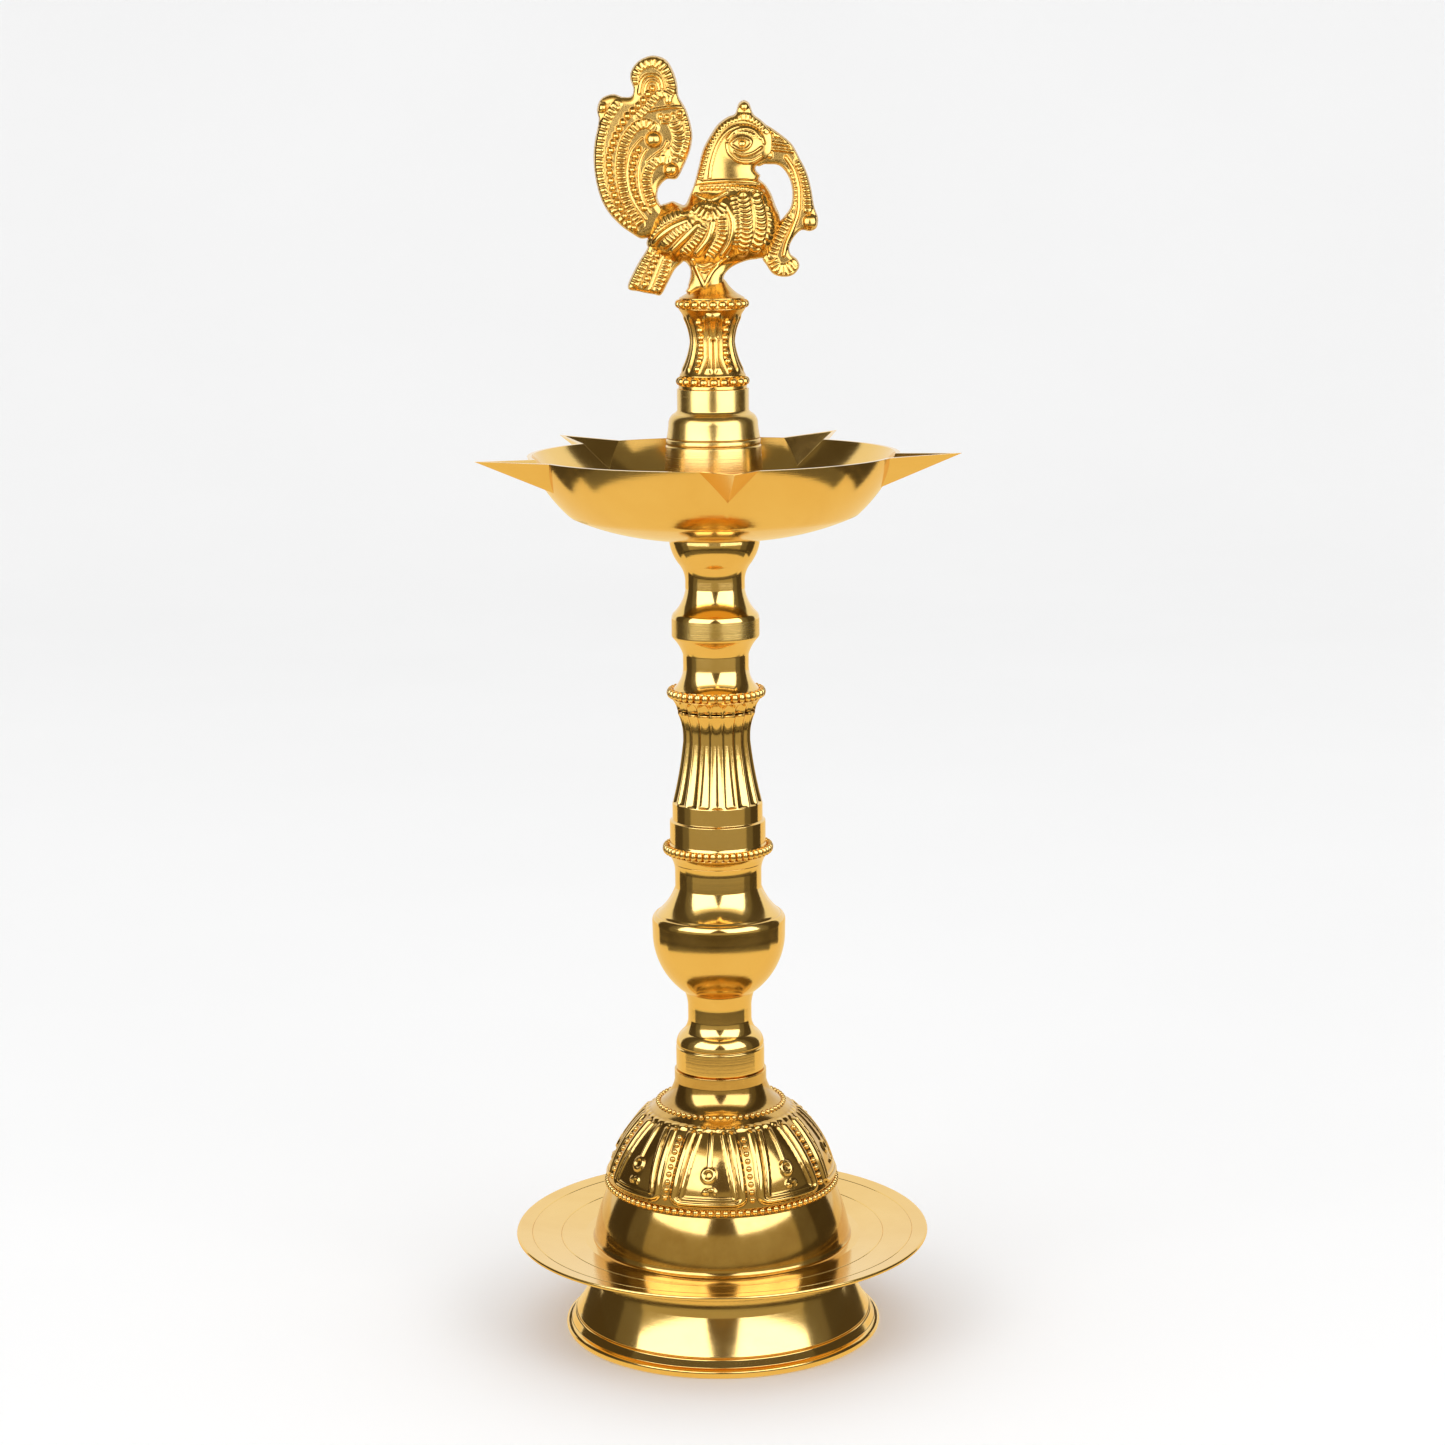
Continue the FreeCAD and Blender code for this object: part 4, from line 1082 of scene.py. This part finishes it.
def softbox(name, place_at, target, width, height, power):
    """Light that is seen neither by the camera nor in the polish."""
    data = bpy.data.lights.new(name, "AREA")
    data.shape = "RECTANGLE"
    data.size, data.size_y = width, height
    data.energy = power
    obj = bpy.data.objects.new(name, data)
    bpy.context.scene.collection.objects.link(obj)
    obj.location = place_at
    aim = Vector(target) - Vector(place_at)
    obj.rotation_euler = aim.to_track_quat("-Z", "Y").to_euler()
    obj.visible_camera = False
    obj.visible_glossy = False


sweep()
TENT, FOOT_SHADE_REACH = 0.47, 0.072                                 # how far the cards stand from the axis
SKIRT, SILL, HEAD, BROW, TOP = 0.05, 0.232, 0.66, 0.80, 1.15  # heights at which one card meets the next
# Heights of the dark bands round the foot, under the drip plate's rim, that paint shade into the foot's
# polish.
FOOT_SHADE_SPAN = (0.008, 0.0185)
WARM, BRIGHT, DARK = (0.93, 0.76, 0.42), (2.8, 3.0, 3.5), (0.07, 0.055, 0.03)
AMBER, OLIVE, UMBER = (0.42, 0.37, 0.23), (0.16, 0.14, 0.09), (0.13, 0.115, 0.08)
for side, sign in (("left", -1), ("right", 1)):
    card("tent_" + side, TENT, (sign * 15, sign * 72), SILL, HEAD, BRIGHT, (sign * 2, sign * 72))
    card("wing_" + side, TENT, (sign * 72, sign * 92), SKIRT, TOP, OLIVE)
    card("edge_" + side, TENT, (sign * 92, sign * 124), SKIRT, TOP, DARK)
    # Dark band at each side of the foot, seen only in the polish: painted shade in the foot's reflection.
    card("painted_foot_shade_side_" + side, FOOT_SHADE_REACH, (sign * 46, sign * 124), *FOOT_SHADE_SPAN, DARK)
card("sill", TENT, (-72, 72), SKIRT, SILL, AMBER)
card("slit", TENT * 1.1, (-20, 20), SILL, HEAD, (0.13, 0.1, 0.06))
card("brow", TENT, (-72, 72), HEAD, BROW, (0.9, 0.8, 0.6))
card("head", TENT, (-72, 72), BROW, TOP, OLIVE)
card("skirt", TENT, (-124, 124), 0.0, SKIRT, DARK)
# Dark band in front of the foot, seen only in the polish: painted shade in the foot's reflection.
card("painted_foot_shade_front", FOOT_SHADE_REACH, (-46, 46), *FOOT_SHADE_SPAN, UMBER)
# Warm glowing sheet just under the pale floor, seen only in the polish in the floor's place: a painted
# reflection of the floor, warmer than the floor itself.
unseen("painted_floor_reflection", [(x, y, -0.002) for x, y in ((-2, -2), (2, -2), (2, 2), (-2, 2))], [(0, 1, 2, 3)], WARM)
unseen("roof", [(x, y, TOP) for x, y in ((-0.6, -0.6), (0.6, -0.6), (0.6, 0.35), (-0.6, 0.35))],
       [(0, 1, 2, 3)], OLIVE)
rim = [(math.radians(-100 + 10 * k), r) for k in range(21) for r in (0.36, TENT)]
unseen("shade", [(r * math.sin(a), -r * math.cos(a), -0.001) for a, r in rim],
       [(2 * k, 2 * k + 1, 2 * k + 3, 2 * k + 2) for k in range(20)], OLIVE)
for side, sign in (("left", -1), ("right", 1)):
    softbox(side + "_box", (sign * 0.95, -1.0, 1.15), (0, 0, 0.2), 0.95, 0.8, 4.0)

world = bpy.data.worlds.new("studio")
bpy.context.scene.world = world
world.use_nodes = True
world.node_tree.nodes["Background"].inputs["Color"].default_value = (1.0, 1.0, 1.0, 1.0)
world.node_tree.nodes["Background"].inputs["Strength"].default_value = 0.97

# ---------------------------------------------------------------- camera
LENS = 78.73
EYE = (0.0021, -1.099, 0.4215)
PITCH, ROLL = math.radians(10.27), math.radians(-0.62)
camera_data = bpy.data.cameras.new("camera")
camera_data.sensor_width = 36.0
camera_data.lens = LENS
camera = bpy.data.objects.new("camera", camera_data)
bpy.context.scene.collection.objects.link(camera)
look = Matrix.Rotation(math.pi / 2 - PITCH, 4, "X") @ Matrix.Rotation(ROLL, 4, "Z")
camera.matrix_world = Matrix.Translation(EYE) @ look
bpy.context.scene.camera = camera
bpy.context.scene.view_settings.view_transform = "Standard"
